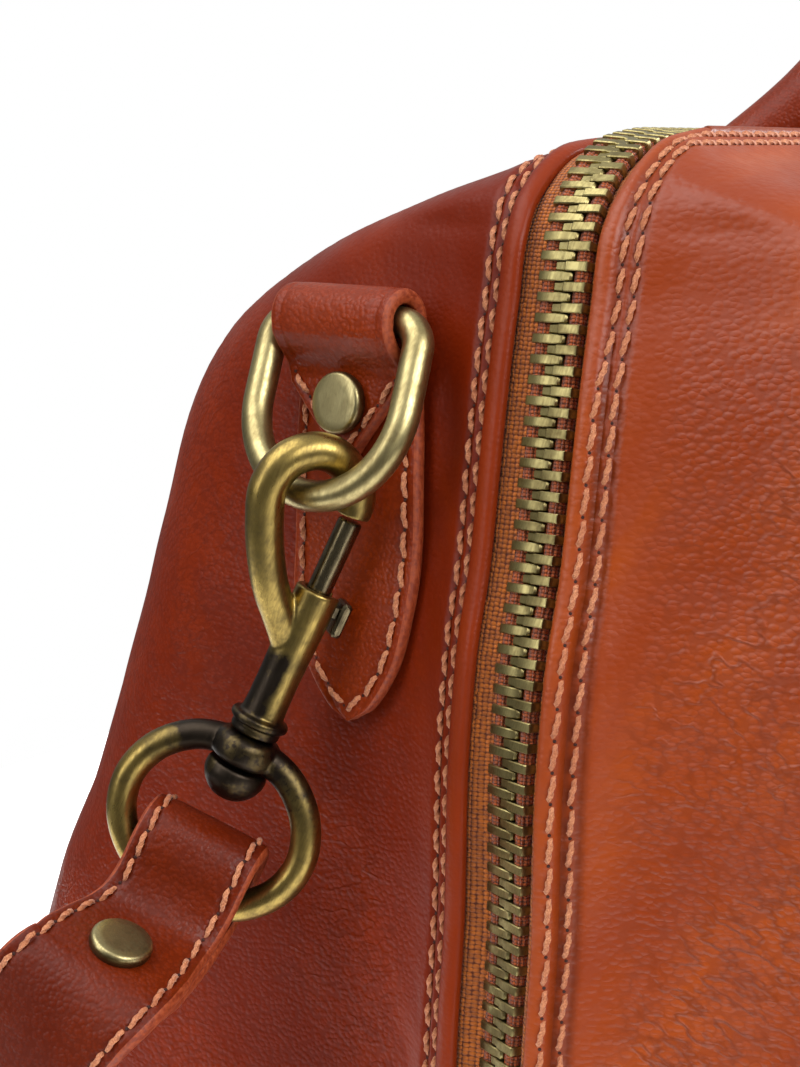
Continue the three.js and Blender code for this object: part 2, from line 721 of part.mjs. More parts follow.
// Swivel eye: an oval of wire with a hub round the hook's rivet, its foot in the strap's fold
const eyeSide = EYE_SIDE.clone().addScaledVector(HOOK_AXIS, -HOOK_AXIS.dot(EYE_SIDE)).normalize();
const eyeDown = HOOK_AXIS.clone().negate();
const eyeOut = new THREE.Vector3().crossVectors(eyeSide, eyeDown).normalize();
if (eyeOut.x > 0) eyeOut.negate();
const hubCentre = hookPoint(HUB_UP, 0);
function eyePoint(across, down) {
  return hubCentre.clone().addScaledVector(eyeSide, across).addScaledVector(eyeDown, down);
}
const eyeLeft = EYE.map(([across, down]) => eyePoint(across, down));
const eyeRight = EYE.map(([across, down]) => eyePoint(-across, down)).reverse();
const eyeRun = smoothRun([...eyeLeft, ...eyeRight], 30, true);
const eyeWire = sweep(eyeRun.map((at) => ({ at, side: eyeOut, width: wire, thick: wire })), true, 8);
const hubRows = [
  [HUB_UP - HUB_HALF, 0],
  [HUB_UP - HUB_HALF, HUB_RADIUS - HUB_ROUND],
  [HUB_UP - HUB_HALF + HUB_ROUND, HUB_RADIUS],
  [HUB_UP + HUB_HALF - HUB_ROUND, HUB_RADIUS],
  [HUB_UP + HUB_HALF, HUB_RADIUS - HUB_ROUND],
  [HUB_UP + HUB_HALF, 0],
];
const hub = turned(hubRows, mouth, HOOK_AXIS, 12);
const hubBore = hookPin(HUB_UP - 8, HUB_UP + 8, HUB_BORE);
const eyeSolid = toSolid(eyeWire).add(toSolid(hub)).subtract(toSolid(hubBore));
addMesh('swivel_eye_left', fromSolid(eyeSolid), BRASS);
addMesh('swivel_eye_right', mirrored(fromSolid(eyeSolid), 'x'), BRASS);

// Strap: a flat strip from a tail behind the left eye, over its bar, round the bag's corner to the
// floor, along behind the bag and up to the right eye the same way
const barMiddle = eyePoint(0, LOOP_DROP);
const loopPoints = LOOP.map(([out, down]) => {
  const drift = -STRAP_DRIFT * Math.max(0, out - STRAP_TURN_FROM);
  const inPlane = barMiddle.clone().addScaledVector(eyeSide, drift);
  return inPlane.addScaledVector(eyeOut, out).addScaledVector(eyeDown, down);
});
const nearCount = LOOP.length;
const leftPoints = [...loopPoints, ...STRAP.map(([x, y, z]) => vec(x, y, z))];
const farSides = STRAP.map(([, , , x, y, z]) => vec(x, y, z).normalize());
const turnShare = LOOP.map(([out]) => THREE.MathUtils.smoothstep(out, STRAP_TURN_FROM, STRAP_TURN_TO));
const loopSides = turnShare.map((share) => eyeSide.clone().lerp(farSides[0], share).normalize());
const loopWidths = turnShare.map((share) => LOOP_WIDTH + share * (STRAP_WIDTH - LOOP_WIDTH));
const leftSides = [...loopSides, ...farSides];
const leftWidths = [...loopWidths, ...STRAP.map(() => STRAP_WIDTH)];
const strapPoints = [...leftPoints, ...leftPoints.slice(0, -1).reverse().map((p) => vec(-p.x, p.y, p.z))];
const strapSides = [...leftSides, ...leftSides.slice(0, -1).reverse().map((s) => vec(-s.x, s.y, s.z))];
const strapWidths = [...leftWidths, ...leftWidths.slice(0, -1).reverse()];
const strapCurve = new THREE.CatmullRomCurve3(strapPoints, false, 'centripetal');
const strapStations = [];
const PER_ROW = 2;
const lastRow = strapPoints.length - 1;
for (let i = 0; i <= lastRow * PER_ROW; i += 1) {
  const row = Math.min(Math.floor(i / PER_ROW), lastRow - 1);
  const part = i / PER_ROW - row;
  const side = strapSides[row].clone().lerp(strapSides[row + 1], part).normalize();
  const width = THREE.MathUtils.lerp(strapWidths[row], strapWidths[row + 1], part) / 2;
  strapStations.push({ at: strapCurve.getPoint(i / (lastRow * PER_ROW)), side, width, thick: STRAP_THICK / 2 });
}
addMesh('strap', sweep(strapStations, false, 4), LEATHER_DARK);

// Strap rivet on the outer face, where the strap and its folded tail are held together
const rivetFoot = loopPoints[nearCount - 2].clone().lerp(loopPoints[nearCount - 3], 0.5);
const strapAhead = loopPoints[nearCount - 2].clone().sub(loopPoints[nearCount - 3]).normalize();
const rivetSide = loopSides[nearCount - 2].clone().lerp(loopSides[nearCount - 3], 0.5);
const strapOut = new THREE.Vector3().crossVectors(strapAhead, rivetSide).normalize();
if (strapOut.z < 0) strapOut.negate();
rivetFoot.addScaledVector(strapOut, STRAP_THICK / 2 + RIVET_LIFT);
const strapRivet = cap(rivetFoot, strapOut);
addMesh('strap_rivet_left', strapRivet, BRASS_PALE);

function withIndex(geometry) {
  const bare = geometry.clone();
  bare.deleteAttribute('normal');
  bare.deleteAttribute('uv');
  return mergeVertices(bare, 1e-4);
}
addMesh('tab_rivet_right', mirrored(withIndex(tabRivet), 'x'), BRASS_PALE);
addMesh('strap_rivet_right', mirrored(withIndex(strapRivet), 'x'), BRASS_PALE);

// Handles: flat feet sewn to the sides that roll into a round grip leaning in over the zip
const footPoints = HANDLE_FOOT.map(([x, z, lift]) => {
  const wall = sideWall(x, z);
  const rise = sideWall(x, z + 4).sub(sideWall(x, z - 4)).normalize();
  const out = new THREE.Vector3().crossVectors(rise, vec(1, 0, 0)).normalize();
  if (out.y < 0) out.negate();
  return wall.addScaledVector(out, lift);
});
const gripPoints = HANDLE_GRIP.map(([x, y, z]) => vec(x, y, z));
const halfHandle = [...footPoints, ...gripPoints];
const halfSizes = [...HANDLE_FOOT, ...HANDLE_GRIP].map((row) => [row[3], row[4]]);
const handlePoints = [...halfHandle, ...halfHandle.slice(0, -1).reverse().map((p) => vec(-p.x, p.y, p.z))];
const handleSizes = [...halfSizes, ...halfSizes.slice(0, -1).reverse()];
const handleStations = [];
const handleLast = handlePoints.length - 1;
for (let i = 0; i <= handleLast; i += 1) {
  const at = handlePoints[i];
  const [width, thick] = handleSizes[i];
  const ahead = handlePoints[Math.min(i + 1, handleLast)].clone().sub(handlePoints[Math.max(i - 1, 0)]);
  const side = new THREE.Vector3().crossVectors(HANDLE_FACE, ahead).normalize();
  handleStations.push({ at, side, width, thick });
}
const handle = sweep(handleStations, false, 8);
addMesh('handle_back', handle, LEATHER_DARK);
addMesh('handle_front', mirrored(handle, 'y'), LEATHER_DARK);

export default group;
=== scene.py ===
"""Finish of the leather travel bag: shells, zip, tab, rings, snap hook, strap and handles as modelled
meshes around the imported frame, under studio light. Tables are in millimetres, meshes in metres."""
import math

import bpy
import numpy as np
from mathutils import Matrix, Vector


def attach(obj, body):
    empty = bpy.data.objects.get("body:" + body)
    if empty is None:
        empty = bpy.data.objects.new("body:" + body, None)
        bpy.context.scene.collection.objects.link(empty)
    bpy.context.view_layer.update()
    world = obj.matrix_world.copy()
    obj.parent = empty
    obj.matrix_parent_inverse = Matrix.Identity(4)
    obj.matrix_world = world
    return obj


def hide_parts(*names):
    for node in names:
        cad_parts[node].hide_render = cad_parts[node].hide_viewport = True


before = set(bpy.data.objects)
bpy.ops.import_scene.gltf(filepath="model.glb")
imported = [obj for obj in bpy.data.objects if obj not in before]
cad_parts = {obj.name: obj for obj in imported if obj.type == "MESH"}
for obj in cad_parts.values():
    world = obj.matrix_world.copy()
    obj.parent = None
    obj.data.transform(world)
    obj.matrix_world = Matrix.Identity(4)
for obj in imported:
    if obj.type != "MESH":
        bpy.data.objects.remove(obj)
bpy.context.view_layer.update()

MM = 0.001
DEGREE = math.pi / 180

# Camera at the photo's angle
CAMERA_PLACE = (-482.727, -151.019, 279.818)
CAMERA_AHEAD = (0.8041, 0.5630, -0.1908)
CAMERA_FIELD = 30 * DEGREE
CAMERA_SENSOR = 36

# Body sizes
WALL = 2.2
BASE_THICK = 3
BASE_RIM = 40
SHELL_LOW = 3.3
ZIP_HALF_GAP = 8
END_BOW = 2
RIDGE_REACH = 14
RIDGE_SPREAD = 40
SIDE_BULGE = 8
BULGE_REACH = 60
# Section of the base's edge. Columns: inset, height
BASE_EDGE = (
    (BASE_RIM, 0), (1.2, 0), (0.35, 0.35), (0, 1.2), (0, 1.8), (0.35, 2.65), (1.2, BASE_THICK),
    (BASE_RIM, BASE_THICK),
)

# Level sections of the bag. Columns: z, half_length, half_width, corner, ridge
SECTIONS = np.array([
    (0, 236, 122, 26, 4.4),
    (20, 241, 127, 26, 4.4),
    (60, 244, 129, 26, 5.5),
    (105, 244.5, 125, 26, 7.7),
    (144, 242.7, 116.1, 26, 9.9),
    (165, 240.8, 107.4, 26, 10.4),
    (182, 240.5, 101.4, 26, 11),
    (203, 238.2, 94.8, 25, 10.4),
    (218, 234, 93, 25, 8.8),
    (232, 231.5, 90.9, 24, 7.7),
    (244, 229.3, 86.1, 24, 7.2),
    (252, 227.7, 79, 22, 7.2),
    (258, 226.3, 69.7, 20, 7.2),
    (265, 225, 56.3, 18, 7.2),
    (271.4, 222, 36.3, 14, 7.2),
    (276, 217.6, 22.6, 10, 7.2),
    (279.3, 212.8, 14.5, 5, 7.2),
    (281.5, 207.6, 11, 2.2, 7.2),
    (283, 196, 9.2, 1, 7.2),
])
ZIP_TOP = SECTIONS[-1, 0]

# Seams beside the zip: where each shell's fold starts, and its two stitch lines, out from the zip
BACK_EDGE = 8.6
BACK_SEAMS = (12, 14.2)
BACK_RAISE = 0
BACK_SINK = 2
FRONT_EDGE = 6.8
FRONT_SEAMS = (9.6, 11.7)
FRONT_RAISE = 2.3
FRONT_SINK = 0.8
RAISE_REACH = 20
SINK_REACH = 12
FOLD_PUFF = 0.5
SEAM_DEPTH = 0.6
SEAM_WIDTH = 0.75
# Heights between which the fold's rise, its dip at the roof, the wrinkles and the evening out set in
RAISE_HEIGHTS = (262, 240)
SINK_HEIGHTS = (264, 281)
CREASE_HEIGHTS = (268, 236)
EVEN_HEIGHTS = (205, 240)
# Distances from the fold and out from the zip over which the evening out sets in, and its rounds
EVEN_AWAY = (14, 45)
EVEN_ASIDE = (8, 30)
EVEN_ROUNDS = 6
# Grid of a shell, from the zip. Columns: finest step, distance it is kept for, growth, longest step
ROW_STEPS = (0.5, 10, 1.12, 3.2)
COLUMN_STEPS = (0.5, 14, 1.1, 6.5)
COLUMN_REACH = 345
# Slow waves of the leather, with their lengths along x, y and z
SWAY = 0.45
LONG_WAVE = (41, 29, 37)
SHORT_WAVE = (53, 31, 23)
SHORT_SHARE = 0.6

# Stitches
STITCH_PITCH = 4.7
STITCH_LENGTH = 4.0
STITCH_RADIUS = 0.43
STITCH_TWIST = 2.6
STITCH_SLANT = 9 * DEGREE
TRIM_SLANT = 6 * DEGREE
STRAP_SLANT = 7 * DEGREE
STITCH_INSET = 2.3
FLAP_INSET = 1.6
STITCH_LIFT = 0.05
HOLE_RADIUS = 0.3

# Zip
TEETH_PITCH = 3.12
TOOTH_HALF = 0.72
TOOTH_TOP = -0.5
TOOTH_LOW = -2.4
CORD_ACROSS = 2.9
CORD_RADIUS = 1.25
CORD_SINK = -2.1
TAPE_SINK = -2.75
TAPE_THICK = 0.8
TAPE_RISE = 1.6
ZIP_LOW = 4
# Turn of the chain about its own line. Columns: z, degrees
CHAIN_TURN = np.array([(0, 25), (140, 25), (210, 13), (255, 6), (274, 0), (ZIP_TOP, -6)])
SLIDER_X = 150
SLIDER_LENGTH = 24
TAPE_FALL = 0.55
TAPE_RISE_OVER = (3.8, 6.4)
TAPE_WEAVE = 0.72
CORD_WEAVE = 0.6
CORD_SIDES = 20
# Tape across the zip. Columns: out from the zip's middle, share of the chain's turn
TAPE = ((1.6, 1), (3.8, 1), (4.6, 1), (5.4, 0.75), (6.4, 0.5), (7.4, 0.2), (9, 0), (11, 0))
# Slider's body. Columns: along, half_width, height
SLIDER_BODY = (
    (-12, 4.2, 0.4), (-11, 5.4, 1.2), (-6, 6.2, 1.5), (2, 6.9, 1.6), (9, 7, 1.4), (11.4, 6.2, 0.9),
    (12, 5, 0.4),
)
# Slider's pull from its free end. Columns: along, half_width
SLIDER_PULL = np.array([(0, 2), (1.2, 4), (6, 5), (18, 4.2), (30, 3.4), (33, 2.2)])
PULL_REACH = 26
# Thickness of the pull. Columns: inset, height
PULL_LEVELS = ((0.5, 1), (0, 1.4), (0, 2), (0.5, 2.4))

# Tab and D-ring at the left end
TAB_Y = 37.15
TAB_LEAN = 0.068
TAB_SIDE = (0.095, 1, 0)
TAB_HALF = 12.4
TAB_LAYER = 2.4
TAB_OFF = 1.3
LAYER_GAP = 0.3
BAR_Z = 252
BAR_OFF = 6.6
SHIELD_DROP = 63
RING_RADIUS = 2.5
D_HALF_WIDTH = 15.5
D_STRAIGHT = 14.1
D_CORNER = 4.5
D_TILT = 26 * DEGREE
D_LEAN = 0.07
RIVET_RADIUS = 5
RIVET_HEIGHT = 2.4
TAB_RIVET_DROP = 13.2
# Back layer of the tab. Columns: drop below the bar, half_width
SHIELD = np.array([
    (0, 12.4), (4, 12.4), (10, 12.6), (21, 13.1), (33, 13.1), (40, 12.9), (47, 11.9), (53, 10.2), (58, 7.3),
    (61.5, 4.1), (63, 1.6),
])
# Front flap. Columns: drop below the bar, closing on the back layer, half_width
FLAP = np.array([
    (0, 0, 12.4), (2, 0.07, 12.4), (4, 0.3, 12.4), (6, 0.66, 12.4), (7.2, 0.83, 12.4), (9.5, 0.97, 12.2),
    (13.5, 1, 8.8), (22, 1, 1.2),
])
SHIELD_TIP = 61.4
TIP_ROUND = 2
SHIELD_STITCH_TOP = 13
FLAP_STITCH_TOP = 9.6

# Snap hook, along its axis from the mouth of the barrel
HOOK_AXIS = (0.259, -0.326, 0.909)
HOOK_TURN = 54 * DEGREE
HOOK_RADIUS = 2.9
LINK_UP = 13.6
LINK_OUT = 8
BORE_RADIUS = 2.3
BORE_DEPTH = 14
BOLT_RADIUS = 2
BOLT_TOP = 12.2
BOLT_TAIL = 5
PLUG_TOP = 13.4
SLOT_HALF = 1.45
SLOT_LOW = -12.6
KNOB_UP = (-6.2, -0.4)
KNOB_OUT = (-6, -4.3)
KNOB_HALF = 2
STEM_UP = (-3.5, -1.5)
STEM_HALF = 1.1
HUB_UP = -28.5
HUB_BORE = 2
HOOK_VOXELS = {"left": 0.27, "right": 0.42}
EYE_VOXELS = {"left": 0.29, "right": 0.44}
DARK = 0.85
# Closed end of a turned body, as a radius
TIP = 0.02
# Bow of the hook, from inside the barrel round to its nose. Columns: up, out
BOW = np.array([
    (-14, 0), (-10, 1.2), (-6.4, 4), (-2.6, 7.4), (2, 10.5), (7.5, 13.3), (12.8, 15), (17.6, 13.8),
    (20.5, 10.2), (20.7, 6.2), (18, 2), (15.4, 0.3), (13, 0),
])
# Turned profile of the shaft. Columns: up, radius
SHAFT = np.array([
    (-37.4, TIP), (-37.3, 1.3), (-36.9, 2.5), (-36.1, 3.6), (-35, 4.5), (-33.8, 5.05), (-32.8, 5.2),
    (-31.9, 5.1), (-31.4, 4.8), (-31.4, 1.6), (-25.6, 1.6), (-25.6, 3.9), (-25.4, 4.1), (-24.1, 4.1),
    (-23.9, 4.3), (-23.8, 4.7), (-23.5, 4.85), (-22.9, 4.85), (-22.6, 4.7), (-22.4, 3.95), (-22.2, 3.6),
    (-20, 3.45), (-15, 3.4), (-9, 3.6), (-4, 3.7), (-0.3, 3.7), (0, 3.4), (0, TIP),
])

# Swivel eye
EYE_DROP = 26
LOOP_DROP = 22.5
EYE_SIDE = (0.373, -0.879, -0.284)
# Hub of the eye. Columns: up from its middle, radius
HUB = np.array([
    (-2.6, TIP), (-2.6, 3.6), (-2.4, 4.4), (-1.9, 5.1), (-1.1, 5.5), (0, 5.6), (1.1, 5.5), (1.9, 5.1),
    (2.4, 4.4), (2.6, 3.6), (2.6, TIP),
])
# Left half of the eye's wire. Columns: across, down
EYE = np.array([
    (-3, 0), (-8.4, 1.6), (-13.3, 6), (-15.6, 11.5), (-15.3, 16.5), (-13, 21), (-8.6, 24.7), (-3.5, EYE_DROP),
])

# Shoulder strap
STRAP_HALF = 12.7
LOOP_HALF = 10.3
TAIL_HALF = 11.2
TAIL_ROWS = 5
STRAP_THICK = 3.2
STRAP_TURN = (5, 20)
STRAP_DRIFT = 0.18
STRAP_RIVET_ROWS = (14, 22)
# Strap round the eye's bar, from the tail's tip. Columns: out, down
LOOP = np.array([
    (20.5, 16.4), (17, 15.4), (13, 14.4), (9, 13), (4.9, 10.8), (0.7, 8.7), (-2.9, 7.2), (-4.7, 4.2),
    (-4.8, -2), (-3.4, -6.2), (0, -7.5), (3.4, -6.2), (4.8, -3), (5, 1), (5.8, 4.4), (7.6, 7.4),
    (10.6, 9.4), (15, 10.8), (20, 12.2), (23.5, 13.8),
])
# Rest of the left half of the strap. Columns: x, y, z, side_x, side_y, side_z
STRAP = np.array([
    (-280.2, 51.9, 153.6, 0.19, -0.9, -0.39),
    (-282.2, 55.4, 149.4, 0.12, -0.9, -0.41),
    (-283.8, 60.2, 143.8, 0, -0.9, -0.44),
    (-285.6, 67, 135, -0.16, -0.87, -0.47),
    (-287.6, 77, 122, -0.4, -0.76, -0.53),
    (-289, 92, 99, -0.65, -0.6, -0.46),
    (-288, 112, 71, -0.88, -0.33, -0.36),
    (-282, 136, 41, -0.95, 0.05, -0.3),
    (-268, 160, 17, -0.9, 0.4, -0.2),
    (-243, 181, 4.6, -0.5, 0.86, 0),
    (-205, 196, 2, -0.25, 0.97, 0),
    (-150, 202, 2, 0, 1, 0),
    (-75, 203, 2, 0, 1, 0),
    (0, 203, 2, 0, 1, 0),
])

# Handles
HANDLE_FACE = (0, 0.8, 0.6)
# Foot of the back handle. Columns: x, z, lift, half_width, half_thick
HANDLE_FOOT = np.array([
    (-63, 228, 2, 4, 1.2),
    (-63, 231, 2, 9, 1.4),
    (-63, 236, 2.2, 11.5, 1.5),
    (-62, 246, 2.6, 11.5, 1.7),
    (-61, 254, 3.2, 11, 2.2),
    (-59, 260, 4.6, 10, 3.4),
])
# Grip of the back handle. Columns: x, y, z, half_width, half_thick
HANDLE_GRIP = np.array([
    (-55.5, 65, 270.5, 8.6, 5.6),
    (-49.5, 53, 279.5, 8, 7.4),
    (-43, 43, 289, 8, 8),
    (-35, 32, 304, 8, 8),
    (-26, 22, 320, 8, 8),
    (-13.5, 14, 331.5, 8, 8),
    (0, 12, 335, 8, 8),
])

# Leather grain
WRINKLE_SIZE = (9, 2.4, 2)
WRINKLE_TURN = (0.5, 0, 0.8)
PATCH_SIZE = 30
TONE_SIZE = 7
GRAIN_DEPTH = 0.24

# Studio, in metres and watts
FLOOR_HALF = 0.5
FLOOR_GLOW = 0.6
SKY_AXIS = (0.25, -0.1, 1)
SKY_REACH = (-0.2, 0.9)
SKY_LEVELS = (0.13, 0.68)
LAMP_AIM = (-0.2, 0, 0.15)
# Columns: name, place, aim, size, power
LAMPS = (
    ("key", (-0.55, -1.1, 0.9), LAMP_AIM, (0.9, 0.7), 14),
    ("top", (-0.7, 0.35, 1.3), LAMP_AIM, (1.2, 0.9), 11),
    ("left", (-1.3, 0.6, 0.7), LAMP_AIM, (0.5, 0.9), 5),
    ("window", (1.3, -1.0, 0.55), (0, -0.1, 0.22), (0.9, 1.2), 36),
)

SAME = np.array([1, 1, 1])
MIRROR_X = np.array([-1, 1, 1])
MIRROR_Y = np.array([1, -1, 1])
HANDS = (("left", SAME), ("right", MIRROR_X))


# Small geometry helpers

def unit(v):
    v = np.asarray(v, float)
    return v / np.maximum(np.linalg.norm(v, axis=-1, keepdims=True), 1e-12)


def square_to(v, axis):
    """v without its part along axis, as a unit vector."""
    return unit(v - np.sum(v * axis, axis=-1, keepdims=True) * axis)


def smooth_step(low, high, value):
    part = np.clip((value - low) / (high - low), 0, 1)
    return part * part * (3 - 2 * part)


def smooth_table(xs, ys, at):
    """A smooth curve through a table's rows that never overshoots them."""
    xs, ys, at = (np.asarray(v, float) for v in (xs, ys, at))
    span = np.diff(xs)
    rise = np.diff(ys) / span
    slope = np.zeros_like(ys)
    product = rise[:-1] * rise[1:]
    total = rise[:-1] + rise[1:]
    safe = np.where(product > 0, total, 1)
    slope[1:-1] = np.where(product > 0, 2 * product / safe, 0)
    slope[0] = rise[0]
    slope[-1] = rise[-1]
    k = np.clip(np.searchsorted(xs, at) - 1, 0, len(span) - 1)
    t = (at - xs[k]) / span[k]
    stay = (1 + 2 * t) * (1 - t) ** 2 * ys[k] + t * t * (3 - 2 * t) * ys[k + 1]
    lean = span[k] * (t * (1 - t) ** 2 * slope[k] + t * t * (t - 1) * slope[k + 1])
    return stay + lean


def between(low, high, at, first, last):
    return ((high - at) * first + (at - low) * last) / (high - low)


def rounded_run(points, steps, closed=False):
    """A centripetal curve through points, with a number of steps in each span."""
    points = np.asarray(points, float)
    if closed:
        points = np.concatenate([points[-1:], points, points[:2]])
    else:
        points = np.concatenate([2 * points[:1] - points[1:2], points, 2 * points[-1:] - points[-2:-1]])
    run = []
    for p in zip(points, points[1:], points[2:], points[3:]):
        t = [0.0]
        for a, b in zip(p, p[1:]):
            t.append(t[-1] + max(np.linalg.norm(b - a), 1e-6) ** 0.5)
        for at in np.linspace(t[1], t[2], steps, endpoint=False):
            a = [between(t[k], t[k + 1], at, p[k], p[k + 1]) for k in range(3)]
            b = [between(t[k], t[k + 2], at, a[k], a[k + 1]) for k in range(2)]
            run.append(between(t[1], t[2], at, *b))
    if not closed:
        run.append(points[-2])
    return np.array(run)


def along(path):
    """Distance from the start at each point of a path."""
    return np.concatenate([[0], np.cumsum(np.linalg.norm(np.diff(path, axis=0), axis=1))])


def at_distance(path, values, places):
    """Values given at the points of a path, read at distances along it."""
    far = along(path)
    values = np.asarray(values, float)
    return np.stack([np.interp(places, far, values[:, c]) for c in range(values.shape[1])], axis=1)


def tangents(path, closed=False):
    if closed:
        return unit(np.roll(path, -1, axis=0) - np.roll(path, 1, axis=0))
    return unit(np.gradient(path, axis=0))


def graded(length, fine, fine_until, growth, most):
    """Places from 0 to a length, evenly fine at first and then further and further apart."""
    places = list(np.arange(0, fine_until, fine))
    step = fine
    while places[-1] < length:
        step = min(step * growth, most)
        places.append(places[-1] + step)
    places = np.array(places)
    return places * (length / places[-1])


def grid_faces(rows, columns, wrap_rows=False, wrap_columns=False):
    j = np.arange(rows - (not wrap_rows))[:, None]
    i = np.arange(columns - (not wrap_columns))[None]
    j2 = (j + 1) % rows
    i2 = (i + 1) % columns
    quads = np.stack([j * columns + i, j * columns + i2, j2 * columns + i2, j2 * columns + i], axis=-1)
    return quads.reshape(-1, 4).tolist()


def facing_out(body):
    """A closed body with its faces turned to point out."""
    points, faces = body
    fans = np.array([(face[0], b, c) for face in faces for b, c in zip(face[1:], face[2:])])
    a, b, c = (points[fans[:, k]] for k in range(3))
    if np.sum(a * np.cross(b, c)) < 0:
        faces = [face[::-1] for face in faces]
    return points, faces


def stack(rings):
    """A closed body through a stack of rings, capped at both ends."""
    rings = np.asarray(rings, float)
    rows, count = rings.shape[:2]
    faces = grid_faces(rows, count, wrap_columns=True)
    faces += [list(range(count))[::-1], list(range((rows - 1) * count, rows * count))]
    return facing_out((rings.reshape(-1, 3), faces))


def sweep(path, side, profile, closed=False):
    """A closed body along a path. The profile gives places along the side and across it, for each station."""
    ahead = tangents(path, closed)
    side = square_to(np.asarray(side, float), ahead)
    face = np.cross(ahead, side)
    rings = path[:, None] + side[:, None] * profile[..., :1] + face[:, None] * profile[..., 1:]
    if not closed:
        return stack(rings)
    faces = grid_faces(*rings.shape[:2], wrap_rows=True, wrap_columns=True)
    return facing_out((rings.reshape(-1, 3), faces))


def circle(radius, sides):
    turn = np.arange(sides) * 2 * math.pi / sides
    return np.stack([radius * np.cos(turn), radius * np.sin(turn)], axis=-1)


def tube(path, radius, sides, side, closed=False):
    return sweep(path, side, circle(1, sides) * np.reshape(radius, (-1, 1, 1)), closed)


def turned(rows, centre, axis, sides):
    """A turned body from rows of place along an axis and radius."""
    start = square_to(np.array([0.3, 0.5, 0.81]), axis)
    ring = circle(1, sides)
    spokes = ring[:, :1] * start + ring[:, 1:] * np.cross(axis, start)
    return stack([centre + axis * up + spokes * radius for up, radius in rows])


def two_sided(section):
    """The points of a section's right side, with those of its left side before them."""
    return [(-u, v) for u, v in section] + section[::-1]


def joined(parts):
    points, faces, start = [], [], 0
    for part_points, part_faces in parts:
        points.append(part_points)
        faces.extend([[start + i for i in face] for face in part_faces])
        start += len(part_points)
    return np.concatenate(points), faces


def copies(template, places, ahead, side, up):
    """A small body repeated at places, each with its own directions."""
    points, faces = template
    spread = (places[:, None] + ahead[:, None] * points[None, :, :1] + side[:, None] * points[None, :, 1:2]
              + up[:, None] * points[None, :, 2:3])
    starts = np.arange(len(places)) * len(points)
    every = []
    for start in starts:
        every.extend([[start + i for i in face] for face in faces])
    return spread.reshape(-1, 3), every


def mirrored(body, flip):
    """A body under a mirror, with its faces still pointing out."""
    points, faces = body
    order = -1 if flip.prod() < 0 else 1
    return points * flip, [face[::order] for face in faces]


def mirrored_lines(lines, flip):
    return [(points * flip, outward * flip) for points, outward in lines]


def both_halves(half, flip=1):
    """A run from one end to the middle, and on to the other end."""
    return np.concatenate([half, half[-2::-1] * flip])


def make(name, body, materials, slot, nodes=(), rides="bag", smooth_angle=40, marks=None, kinds=None,
         uv=None):
    """A piece of the bag from points in millimetres, with its finish, its body and what it stands for."""
    points, faces = body
    mesh = bpy.data.meshes.new(name)
    mesh.from_pydata((np.asarray(points) * MM).tolist(), [], faces)
    for material in materials if isinstance(materials, (list, tuple)) else [materials]:
        mesh.materials.append(material)
    if kinds is not None:
        mesh.polygons.foreach_set("material_index", np.asarray(kinds, np.int32))
    for mark, values in (marks or {}).items():
        layer = mesh.attributes.new(mark, "FLOAT", "POINT")
        layer.data.foreach_set("value", np.asarray(values, np.float32))
    if uv is not None:
        layer = mesh.uv_layers.new(name="UVMap")
        corners = np.zeros(len(mesh.loops), np.int32)
        mesh.loops.foreach_get("vertex_index", corners)
        layer.data.foreach_set("uv", np.asarray(uv, np.float32)[corners].ravel())
    mesh.update()
    mesh.polygons.foreach_set("use_smooth", np.ones(len(mesh.polygons), bool))
    mesh.set_sharp_from_angle(angle=smooth_angle * DEGREE)
    piece = bpy.data.objects.new(name, mesh)
    bpy.context.scene.collection.objects.link(piece)
    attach(piece, rides)
    if nodes:
        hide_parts(*nodes)
    return piece


# Materials

BLACK = (0.0, 0.0, 0.0, 1)
# Near black for the painted shade in the seam grooves
GROOVE_PAINTED_SHADE = (0.01, 0.002, 0.001, 1)


def srgb(red, green, blue):
    """A colour written as on a screen, as the renderer's own values."""
    shares = [c / 255 for c in (red, green, blue)]
    return tuple(((c + 0.055) / 1.055) ** 2.4 if c > 0.04045 else c / 12.92 for c in shares) + (1,)


